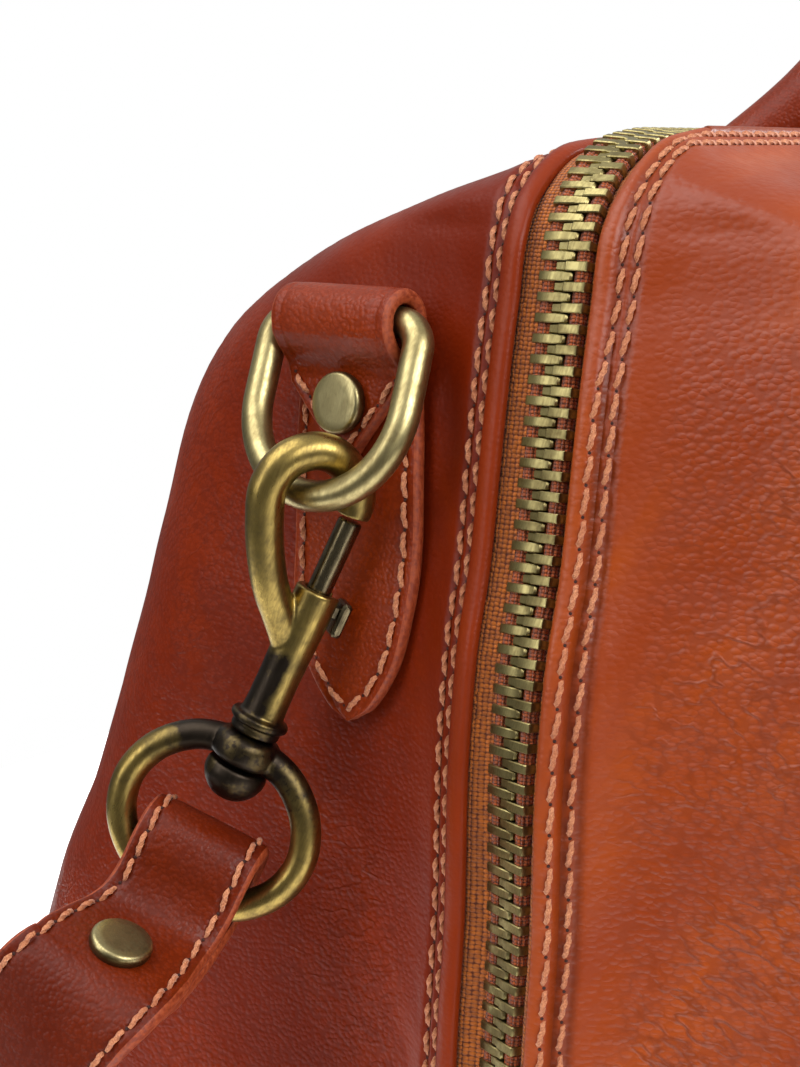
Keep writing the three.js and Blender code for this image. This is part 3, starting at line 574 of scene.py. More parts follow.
class Nodes:
    """A node tree and short ways to add to it."""

    def __init__(self, tree):
        self.tree = tree

    def add(self, kind, inputs, output=0, **settings):
        """A new node with its inputs set or linked, as one of its outputs."""
        node = self.tree.nodes.new(kind)
        for key, value in settings.items():
            setattr(node, key, value)
        for key, value in inputs.items():
            if isinstance(value, (int, float, tuple)):
                node.inputs[key].default_value = value
            else:
                self.tree.links.new(value, node.inputs[key])
        return node.outputs[output]

    def place(self, size=(1, 1, 1), turn=(0, 0, 0), flat=False):
        """Millimetres on the surface or in the body, turned and then measured in units of a given size."""
        coords = self.add("ShaderNodeTexCoord", {}, "UV" if flat else "Object")
        scale = size if flat else tuple(s * MM for s in size)
        inputs = {"Vector": coords, "Scale": scale, "Rotation": turn}
        return self.add("ShaderNodeMapping", inputs, "Vector", vector_type="TEXTURE")

    def noise(self, place, size, detail=2, rough=0.55, flat=False):
        inputs = {"Vector": place, "Scale": 1 / size, "Detail": detail, "Roughness": rough}
        return self.add("ShaderNodeTexNoise", inputs, "Fac", noise_dimensions="2D" if flat else "3D")

    def cells(self, place, size, randomness=1.0, flat=False):
        inputs = {"Vector": place, "Scale": 1 / size, "Randomness": randomness}
        return self.add("ShaderNodeTexVoronoi", inputs, "Distance", voronoi_dimensions="2D" if flat else "3D")

    def math(self, operation, first, second=0.0, clamp=False):
        return self.add("ShaderNodeMath", {0: first, 1: second}, operation=operation, use_clamp=clamp)

    def plus(self, first, second):
        return self.math("ADD", first, second)

    def minus(self, first, second):
        return self.math("SUBTRACT", first, second)

    def times(self, first, second):
        return self.math("MULTIPLY", first, second)

    def ramp(self, value, low, high, to_low=0.0, to_high=1.0):
        inputs = {"Value": value, "From Min": low, "From Max": high, "To Min": to_low, "To Max": to_high}
        return self.add("ShaderNodeMapRange", inputs, "Result", interpolation_type="SMOOTHSTEP")

    def mix(self, amount, first, second):
        return self.add("ShaderNodeMix", {0: amount, 6: first, 7: second}, 2, data_type="RGBA")

    def mark(self, name):
        return self.add("ShaderNodeAttribute", {}, "Fac", attribute_name=name)

    def bump(self, height, depth):
        inputs = {"Height": height, "Distance": depth * MM, "Strength": 1.0}
        return self.add("ShaderNodeBump", inputs, "Normal")


class Finish(Nodes):
    """A material and its shader."""

    def __init__(self, name):
        self.material = bpy.data.materials.new(name)
        self.material.use_nodes = True
        super().__init__(self.material.node_tree)
        self.shader = self.tree.nodes["Principled BSDF"]

    def set(self, **values):
        for key, value in values.items():
            self.shader.inputs[key.replace("_", " ")].default_value = value

    def finish(self, colour, roughness, normal=None):
        for key, value in (("Base Color", colour), ("Roughness", roughness), ("Normal", normal)):
            if value is not None:
                self.tree.links.new(value, self.shader.inputs[key])
        return self.material


def leather(name, colour, deep, pebble, crease, grain, rough, gloss=1.3, stretch=1, flat=False):
    """Grained leather: small pebbles, long shallow wrinkles, and painted shade that darkens the colour in the
    wrinkle hollows and between the pebbles.
    """
    f = Finish(name)
    colour, deep = srgb(*colour), srgb(*deep)
    place = f.place(flat=flat)
    drawn = f.place((stretch, stretch, 1))
    pebbles = f.ramp(f.cells(drawn, pebble), 0.75, 0.15)
    fine = f.noise(drawn, pebble * 0.4)
    swirl = f.noise(f.place(WRINKLE_SIZE, WRINKLE_TURN, flat), 1, 2, 0.5, flat)
    wrinkle = f.ramp(f.math("ABSOLUTE", f.minus(swirl, 0.5)), 0.0, 0.1)
    patch = f.noise(place, PATCH_SIZE, flat=flat)
    tone = f.noise(place, TONE_SIZE, 3, flat=flat)
    amount = f.times(f.ramp(patch, 0.35, 0.65, 0.25, 1.0), crease)
    shade = f.mix(f.ramp(patch, 0.3, 0.7), deep, colour)
    shade = f.mix(f.ramp(tone, 0.35, 0.7, 0.0, 0.35), shade, deep)
    if flat:
        open_wall = f.mark("crease")
        amount = f.times(amount, open_wall)
        calm = f.times(f.ramp(open_wall, 0.0, 1.0, 0.5, 1.0), f.ramp(tone, 0.3, 0.65, 0.75, 1.0))
        pebbles = f.plus(f.times(f.minus(pebbles, 1.0), calm), 1.0)
    hollow = f.times(f.minus(1.0, wrinkle), amount)
    # Painted shade: the colour is darkened towards black in the wrinkle hollows and between the pebbles.
    dark = f.mix(0.5, deep, BLACK)
    shade = f.mix(f.math("MULTIPLY", hollow, 0.5, True), shade, dark)
    shade = f.mix(f.ramp(pebbles, 0.0, 0.6, 0.26, 0.0), shade, dark)
    if flat:
        # Painted shade: the colour darkens along the pressed stitch grooves.
        shade = f.mix(f.mark("groove"), shade, f.mix(0.6, deep, GROOVE_PAINTED_SHADE))
        # Painted highlight: a lighter band along the fold's rolled edge.
        shade = f.mix(f.mark("fold_highlight"), shade, f.mix(0.4, colour, srgb(150, 66, 26)))
    height = f.plus(f.times(pebbles, 0.5 * grain), f.times(fine, 0.07 * grain))
    height = f.minus(height, f.times(hollow, 0.6))
    roughness = f.ramp(tone, 0.3, 0.7, rough - 0.05, rough + 0.06)
    f.set(IOR=gloss)
    return f.finish(shade, roughness, f.bump(height, GRAIN_DEPTH))


def leather_edge(name):
    """Raw cut edge of the leather, lighter and fibrous."""
    f = Finish(name)
    fibre = f.noise(f.place(), 0.8, 3)
    shade = f.mix(f.ramp(fibre, 0.35, 0.65), srgb(122, 42, 10), srgb(154, 66, 26))
    return f.finish(shade, f.ramp(fibre, 0.3, 0.7, 0.5, 0.7), f.bump(fibre, 0.12))


def thread(name):
    f = Finish(name)
    place = f.place()
    fuzz = f.noise(place, 0.3)
    patch = f.noise(place, 14)
    shade = f.mix(f.ramp(fuzz, 0.3, 0.7), srgb(160, 90, 52), srgb(206, 138, 96))
    shade = f.mix(f.ramp(patch, 0.35, 0.7, 0.0, 0.5), shade, srgb(160, 82, 42))
    f.set(Sheen_Weight=0.2)
    return f.finish(shade, f.ramp(fuzz, 0.3, 0.7, 0.6, 0.8), f.bump(fuzz, 0.04))


# Near-black brown for the painted shade in the needle holes.
def painted_hole_shade(name):
    f = Finish(name)
    fuzz = f.noise(f.place(), 0.6)
    shade = f.mix(fuzz, srgb(40, 13, 6), srgb(60, 22, 10))
    return f.finish(shade, f.ramp(fuzz, 0.2, 0.8, 0.8, 0.95))


def brass(name, pale, deep, rough, patina_and_shade=0.5, marked=False):
    """Antique brass: pale where it is rubbed, browned in patches, and darker where a part's mark gives patina
    and painted shade.
    """
    f = Finish(name)
    pale, deep = srgb(*pale), srgb(*deep)
    place = f.place()
    cloud = f.noise(place, 5, 3, 0.6)
    speck = f.noise(place, 0.9)
    brushed = f.noise(f.place((0.3, 0.3, 5), (0.25, 0.3, 0)), 1, 1)
    amount = f.plus(f.times(f.ramp(cloud, 0.38, 0.68), patina_and_shade), f.ramp(speck, 0.5, 0.75, 0.0, 0.2))
    if marked:
        # A part's mark adds patina and painted shade to the browning.
        amount = f.plus(amount, f.mark("patina_and_shade"))
    amount = f.math("MINIMUM", amount, 1.0)
    shade = f.mix(amount, pale, deep)
    shade = f.mix(f.ramp(brushed, 0.4, 0.6, 0.0, 0.2), shade, deep)
    roughness = f.plus(f.ramp(brushed, 0.3, 0.7, rough - 0.04, rough + 0.06), f.times(amount, 0.08))
    f.set(Metallic=1.0)
    return f.finish(shade, roughness, f.bump(f.plus(brushed, speck), 0.012))


def woven(name, pale, deep):
    """Woven zip cloth: bead-like yarns set in rows, with painted shade in the gaps between them."""
    f = Finish(name)
    pale, deep = srgb(*pale), srgb(*deep)
    beads = f.cells(f.place(flat=True), 1, 0.25, True)
    tone = f.noise(f.place(), 2)
    shade = f.mix(f.ramp(tone, 0.3, 0.7), f.mix(0.4, pale, deep), pale)
    # Painted shade: the colour darkens between the yarn beads.
    shade = f.mix(f.ramp(beads, 0.35, 0.66), shade, deep)
    f.set(Sheen_Weight=0.15)
    height = f.ramp(beads, 0.1, 0.65, 1.0, 0.0)
    return f.finish(shade, f.ramp(tone, 0.3, 0.7, 0.7, 0.9), f.bump(height, 0.3))


# Painted shade: the back shell's colours are a darker copy of the front's, for the shell turned from the
# lamps.
back_leather = leather(
    "back_leather", (124, 37, 4), (108, 28, 2), pebble=0.8, crease=0.4, grain=0.5, rough=0.38, gloss=1.27,
    stretch=1.3, flat=True)
front_leather = leather(
    "front_leather", (154, 63, 5), (134, 48, 3), pebble=0.9, crease=1.0, grain=1.0, rough=0.42, gloss=1.44,
    stretch=1.6, flat=True)
trim_leather = leather(
    "trim_leather", (138, 47, 4), (116, 34, 2), pebble=0.8, crease=0.2, grain=0.5, rough=0.38)
# Painted shade: the strap's colours are a darker copy of the trim leather's, for a strap that turns away from
# the light.
strap_leather = leather(
    "strap_leather", (108, 33, 4), (88, 23, 2), pebble=0.8, crease=0.2, grain=0.5, rough=0.4)
base_leather = leather(
    "base_leather", (104, 30, 4), (78, 20, 2), pebble=0.9, crease=0.3, grain=0.5, rough=0.45)
raw_edge = leather_edge("raw_edge")
stitch_thread = thread("stitch_thread")
needle_hole_shade = painted_hole_shade("needle_hole_shade")
ring_brass = brass("ring_brass", (184, 170, 120), (96, 78, 44), rough=0.33, patina_and_shade=0.4)
hook_brass = brass("hook_brass", (168, 144, 80), (50, 43, 36), rough=0.31, patina_and_shade=0.42, marked=True)
tooth_brass = brass("tooth_brass", (158, 146, 98), (78, 62, 34), rough=0.34, patina_and_shade=0.5)
rivet_brass = brass("rivet_brass", (180, 168, 122), (100, 84, 52), rough=0.34, patina_and_shade=0.35, marked=True)
bolt_metal = brass("bolt_metal", (118, 106, 80), (40, 37, 34), rough=0.26, patina_and_shade=0.6)
tape_cloth = woven("tape_cloth", (206, 112, 34), (92, 34, 6))
cord_cloth = woven("cord_cloth", (176, 80, 22), (70, 22, 4))


# Shells

def row_at(z):
    """Half length, half width, corner and ridge of the bag at a height."""
    return [smooth_table(SECTIONS[:, 0], SECTIONS[:, c], z) for c in range(1, 5)]


def end_recess(y, width, ridge):
    spread = np.minimum(1, (width - ZIP_HALF_GAP) / RIDGE_SPREAD)
    roll = ridge * (1 - np.exp(-(y - ZIP_HALF_GAP) / RIDGE_REACH))
    return spread * (END_BOW * (y / width) ** 2 + roll)


def end_wall(y, z):
    length, width, _, ridge = row_at(z)
    return np.array([-length + end_recess(y, width, ridge), y, z])


def swell_at(x, length, width):
    return SIDE_BULGE * (1 - (x / length) ** 2) * min(1, (width - ZIP_HALF_GAP) / BULGE_REACH)


def side_wall(x, z):
    length, width, _, _ = row_at(z)
    return np.array([x, width + swell_at(x, length, width), z])


def section_curve(z, edge):
    """Left half of the back shell's level section, from its fold at the zip to the bag's middle."""
    length, width, corner, ridge = (float(v) for v in row_at(z))
    corner = min(corner, width - edge - 0.05)
    flat = np.linspace(edge, width - corner, 50, endpoint=False)
    turn = np.linspace(0, math.pi / 2, 30, endpoint=False)
    run = np.linspace(-(length - corner), 0, 90)
    x = np.concatenate([np.full(len(flat), -length), -length + corner * (1 - np.cos(turn)), run])
    y = np.concatenate([flat, width - corner * (1 - np.sin(turn)), np.full(len(run), width)])
    share = (y - ZIP_HALF_GAP) / (width - ZIP_HALF_GAP)
    inward = x * (1 - end_recess(y, width, ridge) / length)
    return np.stack([inward, y + swell_at(x, length, width) * share, np.full(len(x), z)], axis=1)


def full_width(half, flip=1):
    """A grid of one half and its mirror image, side by side."""
    return np.concatenate([half, half[:, -2::-1] * flip], axis=1)


def grid_normals(grid):
    up = np.gradient(grid, axis=0)
    over = np.gradient(grid, axis=1)
    return unit(np.cross(up, over))


def soften(grid):
    """Evens out the roof of a grid, away from the zip."""
    hold = smooth_step(*EVEN_AWAY, np.linalg.norm(grid - grid[:, :1], axis=2))
    hold = hold * smooth_step(*EVEN_ASIDE, grid[..., 1] - ZIP_HALF_GAP)
    hold = hold * smooth_step(*EVEN_HEIGHTS, grid[..., 2])
    for _ in range(EVEN_ROUNDS):
        mean = grid.copy()
        mean[1:-1] += (grid[2:] + grid[:-2] - 2 * grid[1:-1]) / 4
        mean[:, 1:-1] += (grid[:, 2:] + grid[:, :-2] - 2 * grid[:, 1:-1]) / 4
        grid = grid + (mean - grid) * hold[..., None]
    return grid


def plain_grid(edge):
    """Left half of a shell as rows of points from the base up to the zip, closest beside the zip."""
    z = np.linspace(SHELL_LOW, ZIP_TOP, 3000)
    far = along(np.stack([z, row_at(z)[1]], axis=1))
    down = graded(far[-1], *ROW_STEPS)
    over = graded(COLUMN_REACH, *COLUMN_STEPS)
    near = COLUMN_STEPS[1]
    rows = []
    for height in np.interp(far[-1] - down[::-1], far, z):
        curve = section_curve(height, edge)
        length = along(curve)[-1]
        places = np.where(over <= near, over, near + (over - near) * (length - near) / (over[-1] - near))
        rows.append(at_distance(curve, curve, places))
    return soften(np.array(rows))


def shell_grid(edge, seams, lift, sink):
    """Left half of a shell with its fold puffed, its seams pressed in and slow waves off the zip."""
    grid = plain_grid(edge)
    x, y, height = np.moveaxis(grid, 2, 0)
    first, last = seams
    wave = np.sin(x / LONG_WAVE[0] + 0.6) * np.sin(y / LONG_WAVE[1] + height / LONG_WAVE[2])
    wave += SHORT_SHARE * np.sin(height / SHORT_WAVE[2] - y / SHORT_WAVE[1] + x / SHORT_WAVE[0])
    sway = SWAY * wave * smooth_step(last + 2, last + 40, y) * smooth_step(SHELL_LOW, 40, height)
    puff = FOLD_PUFF * np.sin(math.pi * np.clip((y - edge) / (first - edge), 0, 1)) ** 0.8
    groove = np.exp(-((np.minimum(abs(y - first), abs(y - last))) / SEAM_WIDTH) ** 2)
    between_seams = smooth_step(first, last, y) * (1 - smooth_step(last, last + 5, y))
    raised = lift * np.exp(-(y - edge) / RAISE_REACH) * smooth_step(*RAISE_HEIGHTS, height)
    press = puff - SEAM_DEPTH * groove + 0.2 * between_seams + raised
    shaped = grid + grid_normals(grid) * (sway + press)[..., None]
    shaped[..., 2] -= sink * np.exp(-(y - edge) / SINK_REACH) * smooth_step(*SINK_HEIGHTS, height)
    # Painted highlight: a narrow lighter band along the fold's rolled edge.
    fold_highlight = np.exp(-((y - edge - 0.5) / 1.1) ** 2)
    crease = smooth_step(last, last + 14, y) * smooth_step(*CREASE_HEIGHTS, height)
    # The groove mark carries painted shade for the seam grooves.
    return shaped, {"groove": groove * 0.55, "fold_highlight": fold_highlight * 0.5, "crease": 0.1 + 0.9 * crease}


def seam_line(grid, normals, level):
    """Where a half shell lies a distance out from the zip, from the base up and then along the roof."""
    y = grid[..., 1]
    j, i = np.nonzero((y[:, :-1] < level) & (y[:, 1:] >= level))
    up, over = np.nonzero((y[:-1] >= level) & (y[1:] < level))
    roof = up >= j.max() - 1
    up, over = up[roof], over[roof]
    j2, i2 = np.concatenate([j, up + 1]), np.concatenate([i + 1, over])
    j, i = np.concatenate([j, up]), np.concatenate([i, over])
    part = ((level - y[j, i]) / (y[j2, i2] - y[j, i]))[:, None]
    rank = np.argsort(j + i + part[:, 0])
    points = (grid[j, i] * (1 - part) + grid[j2, i2] * part)[rank]
    outward = unit((normals[j, i] * (1 - part) + normals[j2, i2] * part)[rank])
    return both_halves(points, MIRROR_X), both_halves(outward, MIRROR_X)


def shell_body(grid, marks):
    """A shell of even thickness behind a half grid and its mirror, with a rounded fold along the zip."""
    full = full_width(grid, MIRROR_X)
    rows, columns = full.shape[:2]
    normals = grid_normals(full)
    inner = full - normals * WALL
    left = [(j, 0) for j in range(rows)]
    top = [(rows - 1, i) for i in range(1, columns)]
    right = [(j, columns - 1) for j in range(rows - 2, -1, -1)]
    rim = np.array(left + top + right)
    at = full[rim[:, 0], rim[:, 1]]
    out = normals[rim[:, 0], rim[:, 1]]
    ahead = tangents(at)
    edge = square_to(np.cross(ahead, out), out)
    edge = edge * np.sign(-edge[:, 1:2] + 1e-9)
    radius = WALL / 2
    arc = np.linspace(0, math.pi, 8)[1:-1]
    lips = [at + edge * radius * math.sin(a) + out * radius * (math.cos(a) - 1) for a in arc]
    points = np.concatenate([full.reshape(-1, 3), inner.reshape(-1, 3)] + lips)
    count = rows * columns
    faces = grid_faces(rows, columns)
    faces += [[count + i for i in face[::-1]] for face in grid_faces(rows, columns)]
    ids = rim[:, 0] * columns + rim[:, 1]
    rings = [ids] + [2 * count + k * len(ids) + np.arange(len(ids)) for k in range(len(arc))] + [ids + count]
    for low, high in zip(rings, rings[1:]):
        faces += np.stack([low[:-1], low[1:], high[1:], high[:-1]], axis=1).tolist()
    faces += [[i + 1, i, count + i, count + i + 1] for i in range(columns - 1)]
    caps = [[ring[k] for ring in rings] for k in (0, -1)]
    faces += [caps[0], caps[1][::-1]]
    values = {}
    for name, half in marks.items():
        mark = full_width(half)
        on_rim = mark[rim[:, 0], rim[:, 1]]
        values[name] = np.concatenate([mark.ravel(), mark.ravel()] + [on_rim] * len(arc))
    steps_over = np.linalg.norm(np.diff(full, axis=1), axis=2)
    steps_up = np.linalg.norm(np.diff(full, axis=0), axis=2)
    u = np.pad(np.cumsum(steps_over, axis=1), ((0, 0), (1, 0)))
    v = np.pad(np.cumsum(steps_up[::-1], axis=0)[::-1], ((0, 1), (0, 0)))
    flat = np.stack([u, v], axis=-1)
    round_rim = [flat[rim[:, 0], rim[:, 1]] + 0.35 * (k + 1) for k in range(len(arc))]
    uv = np.concatenate([flat.reshape(-1, 2), flat.reshape(-1, 2)] + round_rim)
    return (points, faces), values, uv


# Stitches

def stitch_body():
    """One stitch of a three-ply thread: it rises from one hole and dips into the next."""
    steps, sides = 10, 9
    t = np.linspace(-1, 1, steps)
    path = np.stack([t * STITCH_LENGTH / 2, np.zeros(steps), 0.34 - 0.7 * np.abs(t) ** 3.5], axis=1)
    thick = STITCH_RADIUS * (1 - 0.35 * np.abs(t) ** 4)
    turn = np.arange(sides) * 2 * math.pi / sides
    lobe = 1 + 0.2 * np.cos(3 * turn)
    angle = turn[None] + STITCH_TWIST * t[:, None]
    profile = np.stack([np.cos(angle), np.sin(angle)], axis=-1) * (thick[:, None] * lobe[None])[..., None]
    return sweep(path, (0, 1, 0), profile)


# A small dark disc on the leather at each needle hole: painted shade for the hole.
def hole_body():
    sides = 8
    levels = ((1, -0.05), (0.6, 0.12))
    return stack([np.insert(circle(HOLE_RADIUS * share, sides), 2, z, axis=1) for share, z in levels])


STITCH = stitch_body()
HOLE = hole_body()


def directions_at(points, outward, places):
    """Points at distances along a line, with the directions ahead, sideways and up."""
    up = unit(at_distance(points, outward, places))
    ahead = square_to(at_distance(points, tangents(points), places), up)
    return at_distance(points, points, places), ahead, np.cross(up, ahead), up


def sew(name, lines, slot, slant):
    """Stitches, and dark discs of painted shade at the needle holes, along lines, each given by its points
    and outward directions.
    """
    threads, holes = [], []
    for k, (points, outward) in enumerate(lines):
        length = along(points)[-1]
        count = max(1, int(length / STITCH_PITCH))
        pitch = length / count
        at, ahead, side, up = directions_at(points, outward, (np.arange(count) + 0.5) * pitch)
        lean = slant + 0.03 * np.sin(np.arange(count) * 2.4 + k)[:, None]
        slanted = ahead * np.cos(lean) + side * np.sin(lean)
        threads.append(copies(STITCH, at, slanted, np.cross(up, slanted), up))
        holes.append(copies(HOLE, *directions_at(points, outward, np.arange(count + 1) * pitch)))
    make(name + "_stitches", joined(threads), stitch_thread, slot, smooth_angle=60)
    make(name + "_holes", joined(holes), needle_hole_shade, slot, smooth_angle=60)


def build_shell(name, edge, seams, lift, sink, material, flip):
    grid, marks = shell_grid(edge, seams, lift, sink)
    body, values, uv = shell_body(grid, marks)
    make(name + "_leather", mirrored(body, flip), material, "shell_leather", [name], marks=values, uv=uv)
    normals = grid_normals(full_width(grid, MIRROR_X))[:, :grid.shape[1]]
    lines = []
    for k, seam in enumerate(seams):
        points, outward = seam_line(grid, normals, seam)
        lines.append((points[k:] * flip, outward[k:] * flip))
    sew(name, lines, "trim_leather", STITCH_SLANT * flip.prod())


build_shell("back_shell", BACK_EDGE, BACK_SEAMS, BACK_RAISE, BACK_SINK, back_leather, SAME)
build_shell("front_shell", FRONT_EDGE, FRONT_SEAMS, FRONT_RAISE, FRONT_SINK, front_leather, MIRROR_Y)


def build_base():
    """Flat bottom with a softly rounded edge."""
    start = np.array([[-SECTIONS[0, 1], 0, 0]])
    half = both_halves(np.concatenate([start, section_curve(0, ZIP_HALF_GAP)[::2]]), MIRROR_X)
    outline = np.concatenate([half, half[-2:0:-1] * MIRROR_Y])
    up = np.array([0, 0, 1.0])
    inward = square_to(np.cross(tangents(outline, True), up), up)
    if np.sum(inward * outline) > 0:
        inward = -inward
    rings = [outline + inward * inset + up * height for inset, height in BASE_EDGE]
    make("base_leather", stack(rings), base_leather, "trim_leather", ["base"])


build_base()


# Zip

def zip_line(step):
    """The zip's line from the left foot over the top to the right foot, with its directions."""
    z = np.linspace(ZIP_LOW, ZIP_TOP, 1500)
    rise = np.stack([-row_at(z)[0], z], axis=1)
    level = np.stack([np.linspace(rise[-1, 0], 0, 200)[1:], np.full(199, ZIP_TOP)], axis=1)
    left = np.concatenate([rise, level])
    path = np.concatenate([left, left[-2::-1] * (-1, 1)])
    count = int(along(path)[-1] / step)
    path = at_distance(path, path, np.linspace(0, along(path)[-1], count + 1))
    reach = max(1, int(6 / step))
    soft = np.pad(path, ((reach, reach), (0, 0)), mode="reflect", reflect_type="odd")
    weights = np.hanning(2 * reach + 3)[1:-1]
    path = np.stack([np.convolve(soft[:, c], weights / weights.sum(), "valid") for c in range(2)], axis=1)
    ahead = tangents(path)
    points = np.stack([path[:, 0], np.zeros(len(path)), path[:, 1]], axis=1)
    forward = np.stack([ahead[:, 0], np.zeros(len(path)), ahead[:, 1]], axis=1)
    outward = np.stack([-ahead[:, 1], np.zeros(len(path)), ahead[:, 0]], axis=1)
    turn = smooth_table(CHAIN_TURN[:, 0], CHAIN_TURN[:, 1], points[:, 2]) * DEGREE
    return points, forward, outward, turn


def turned_about(outward, turn, share=1.0):
    """Directions across the chain and out of it, turned about its line."""
    across = np.array([0.0, 1, 0])
    angle = (turn * share)[:, None]
    return across * np.cos(angle) - outward * np.sin(angle), outward * np.cos(angle) + across * np.sin(angle)


def tooth_body(hand):
    """One tooth: a bevelled bar that clamps the cord, with a low head that meets the other side."""
    top, low, bevel = TOOTH_TOP, TOOTH_LOW, 0.15
    drop = 0.12 if hand > 0 else 0.3
    rows = (
        (4.45, 0.7, low + 0.3), (4.4, 0.85, top - 0.5), (4.2, 1, top - 0.12), (3.9, 1, top), (0.5, 1, top),
        (0.2, 0.97, top - drop), (-1.3, 0.9, top - drop - 0.05), (-1.6, 0.65, top - drop - 0.4),
    )
    rings = []
    for across, share, high in rows:
        half = TOOTH_HALF * share
        section = two_sided([(half, low), (half, high - bevel), (half - bevel, high)])
        rings.append([(x, across * hand, z) for x, z in section])
    return stack(rings)


def build_teeth():
    points, forward, outward, turn = zip_line(TEETH_PITCH / 2)
    across, up = turned_about(outward, turn)
    teeth = []
    for hand, start in ((1, 2), (-1, 3)):
        pick = slice(start, len(points) - 2, 2)
        teeth.append(copies(tooth_body(hand), points[pick], forward[pick], across[pick], up[pick]))
    make("zip_teeth_brass", joined(teeth), tooth_brass, "antique_brass", ["zip_teeth"], smooth_angle=30)


def build_cord(name, hand, points, outward, turn):
    """Fluted cord that the teeth clamp."""
    across, up = turned_about(outward, turn)
    path = points + across * CORD_ACROSS * hand + up * CORD_SINK
    flutes = CORD_RADIUS * (1 + 0.08 * np.cos(np.arange(CORD_SIDES) * math.pi))
    body = sweep(path, (0, 1, 0), (circle(1, CORD_SIDES) * flutes[:, None])[None])
    over = np.tile(np.arange(CORD_SIDES) * 0.4, len(path))
    uv = np.stack([np.repeat(along(points), CORD_SIDES), over], axis=1)
    make("zip_cord_" + name, body, cord_cloth, "tape_cloth", uv=uv / CORD_WEAVE)


def build_tape(name, hand, points, outward, turn):
    """Cloth from under the teeth to under the leather's fold, turned less the further out it lies."""
    rows = []
    for place, share in TAPE:
        side, out = turned_about(outward, turn, share)
        sink = TAPE_SINK - max(0, place - ZIP_HALF_GAP) * TAPE_FALL
        if hand < 0:
            sink += TAPE_RISE * smooth_step(*TAPE_RISE_OVER, place)
        rows.append(points + side * place * hand + out * sink)
    upper = np.array(rows)
    strip = np.concatenate([upper, upper[::-1] - outward[None] * TAPE_THICK])
    ring, count = strip.shape[:2]
    faces = grid_faces(ring, count, wrap_rows=True)
    faces += [[k * count for k in range(ring)], [k * count + count - 1 for k in range(ring)][::-1]]
    places = [place for place, _ in TAPE]
    uv = np.stack([np.tile(along(points), ring), np.repeat(places + places[::-1], count)], axis=1)
    make("zip_tape_cloth_" + name, facing_out((strip.reshape(-1, 3), faces)), tape_cloth, "tape_cloth",
         ["zip_tape_" + name], uv=uv / TAPE_WEAVE)


def build_zip():
    build_teeth()
    points, _, outward, turn = zip_line(2.5)
    for hand, name in ((1, "back"), (-1, "front")):
        build_cord(name, hand, points, outward, turn)
        build_tape(name, hand, points, outward, turn)


build_zip()


def build_slider():
    """Zip slider on the top run: a waisted body, a bridge and a flat pull."""
    z = ZIP_TOP - 0.3
    rings = []
    for place, half, high in SLIDER_BODY:
        section = two_sided([(half, 0), (half, high * 0.6), (half - 0.7, high)])
        rings.append([(SLIDER_X + place, y, z + up) for y, up in section])
    arch = [(SLIDER_X + 8 * math.cos(a), 0, z + 1 + 1.5 * math.sin(a)) for a in np.linspace(0, math.pi, 16)]
    bridge = tube(np.array(arch), 0.9, 10, (0, 1, 0))
    outline = SLIDER_PULL + (SLIDER_X - SLIDER_LENGTH / 2 - PULL_REACH, 0)
    outline = np.concatenate([outline, outline[::-1] * (1, -1)])
    middle = outline.mean(axis=0)
    levels = []
    for inset, high in PULL_LEVELS:
        drawn_in = middle + (outline - middle) * (1 - inset / 12)
        levels.append(np.insert(drawn_in, 2, z + high, axis=1))
    body = joined([stack(rings), bridge, stack(levels)])
    make("zip_slider_brass", body, tooth_brass, "antique_brass", ["zip_slider"])


build_slider()


# Flat leather strips

EDGE_STEPS = ((0, 0.5), (0.1, 0.74), (0.34, 0.92), (0.7, 1.0))
FACE_STEPS = (1.1, 1.6, 1.95, 2.3, 2.65, 3.0, 4.2)


def strip_profile(half, thick, groove=0.22, crown=0.12):
    """Section of a strip at each station: rounded cut edges and a shallow groove under each stitch line."""
    half = np.asarray(half, float)
    squeeze = np.minimum(1, half / 6)
    sections = []
    for h, s in zip(half, squeeze):
        upper = []
        for inset, share in EDGE_STEPS:
            upper.append((-h + inset * s, thick * (share - 0.5)))
        for inset in FACE_STEPS:
            dip = groove * math.exp(-((inset - STITCH_INSET) / 0.45) ** 2) * s
            upper.append((-h + inset * s, thick * 0.5 + crown * s * (1 - (1 - inset / 6) ** 2) - dip))
        upper.append((0, thick * 0.5 + crown * s))
        right = [(-u, v) for u, v in upper[-2::-1]]
        top = upper + right
        bottom = [(u, -v) for u, v in top[-2:0:-1]]
        sections.append(top + bottom)
    return np.array(sections)


def strip_kinds(stations, ring):
    """Which faces of a strip are its raw cut edges, as material numbers."""
    upper = (ring + 2) // 2
    edge = np.zeros(ring, int)
    last = len(EDGE_STEPS) - 1
    for k in range(last):
        edge[k] = 1
        edge[upper - 2 - k] = 1
        edge[upper - 1 + k] = 1
        edge[ring - 1 - k] = 1
    return np.concatenate([np.tile(edge, stations - 1), [1, 1]])


TAB_SIDE = unit(TAB_SIDE)
WALL_UP = unit(end_wall(TAB_Y, BAR_Z) - end_wall(TAB_Y, BAR_Z - SHIELD_DROP))
WALL_OUT = unit(np.cross(TAB_SIDE, WALL_UP))
WALL_OUT = WALL_OUT * (-1 if WALL_OUT[0] > 0 else 1)
BAR_CENTRE = end_wall(TAB_Y, BAR_Z) + WALL_OUT * BAR_OFF
BACK_OFF = TAB_OFF + TAB_LAYER / 2
FRONT_OFF = BACK_OFF + TAB_LAYER + LAYER_GAP
FOLD_RADIUS = BAR_OFF - BACK_OFF


def tab_wall(drop):
    """The wall behind the tab's middle, which leans a little towards the zip."""
    return end_wall(TAB_Y - TAB_LEAN * drop, BAR_Z - drop)


def flap_off(drop):
    """How far the flap's middle stands off the wall, at a drop below the bar."""
    far = BAR_OFF + FOLD_RADIUS
    return far + smooth_table(FLAP[:, 0], FLAP[:, 1], drop) * (FRONT_OFF - far)


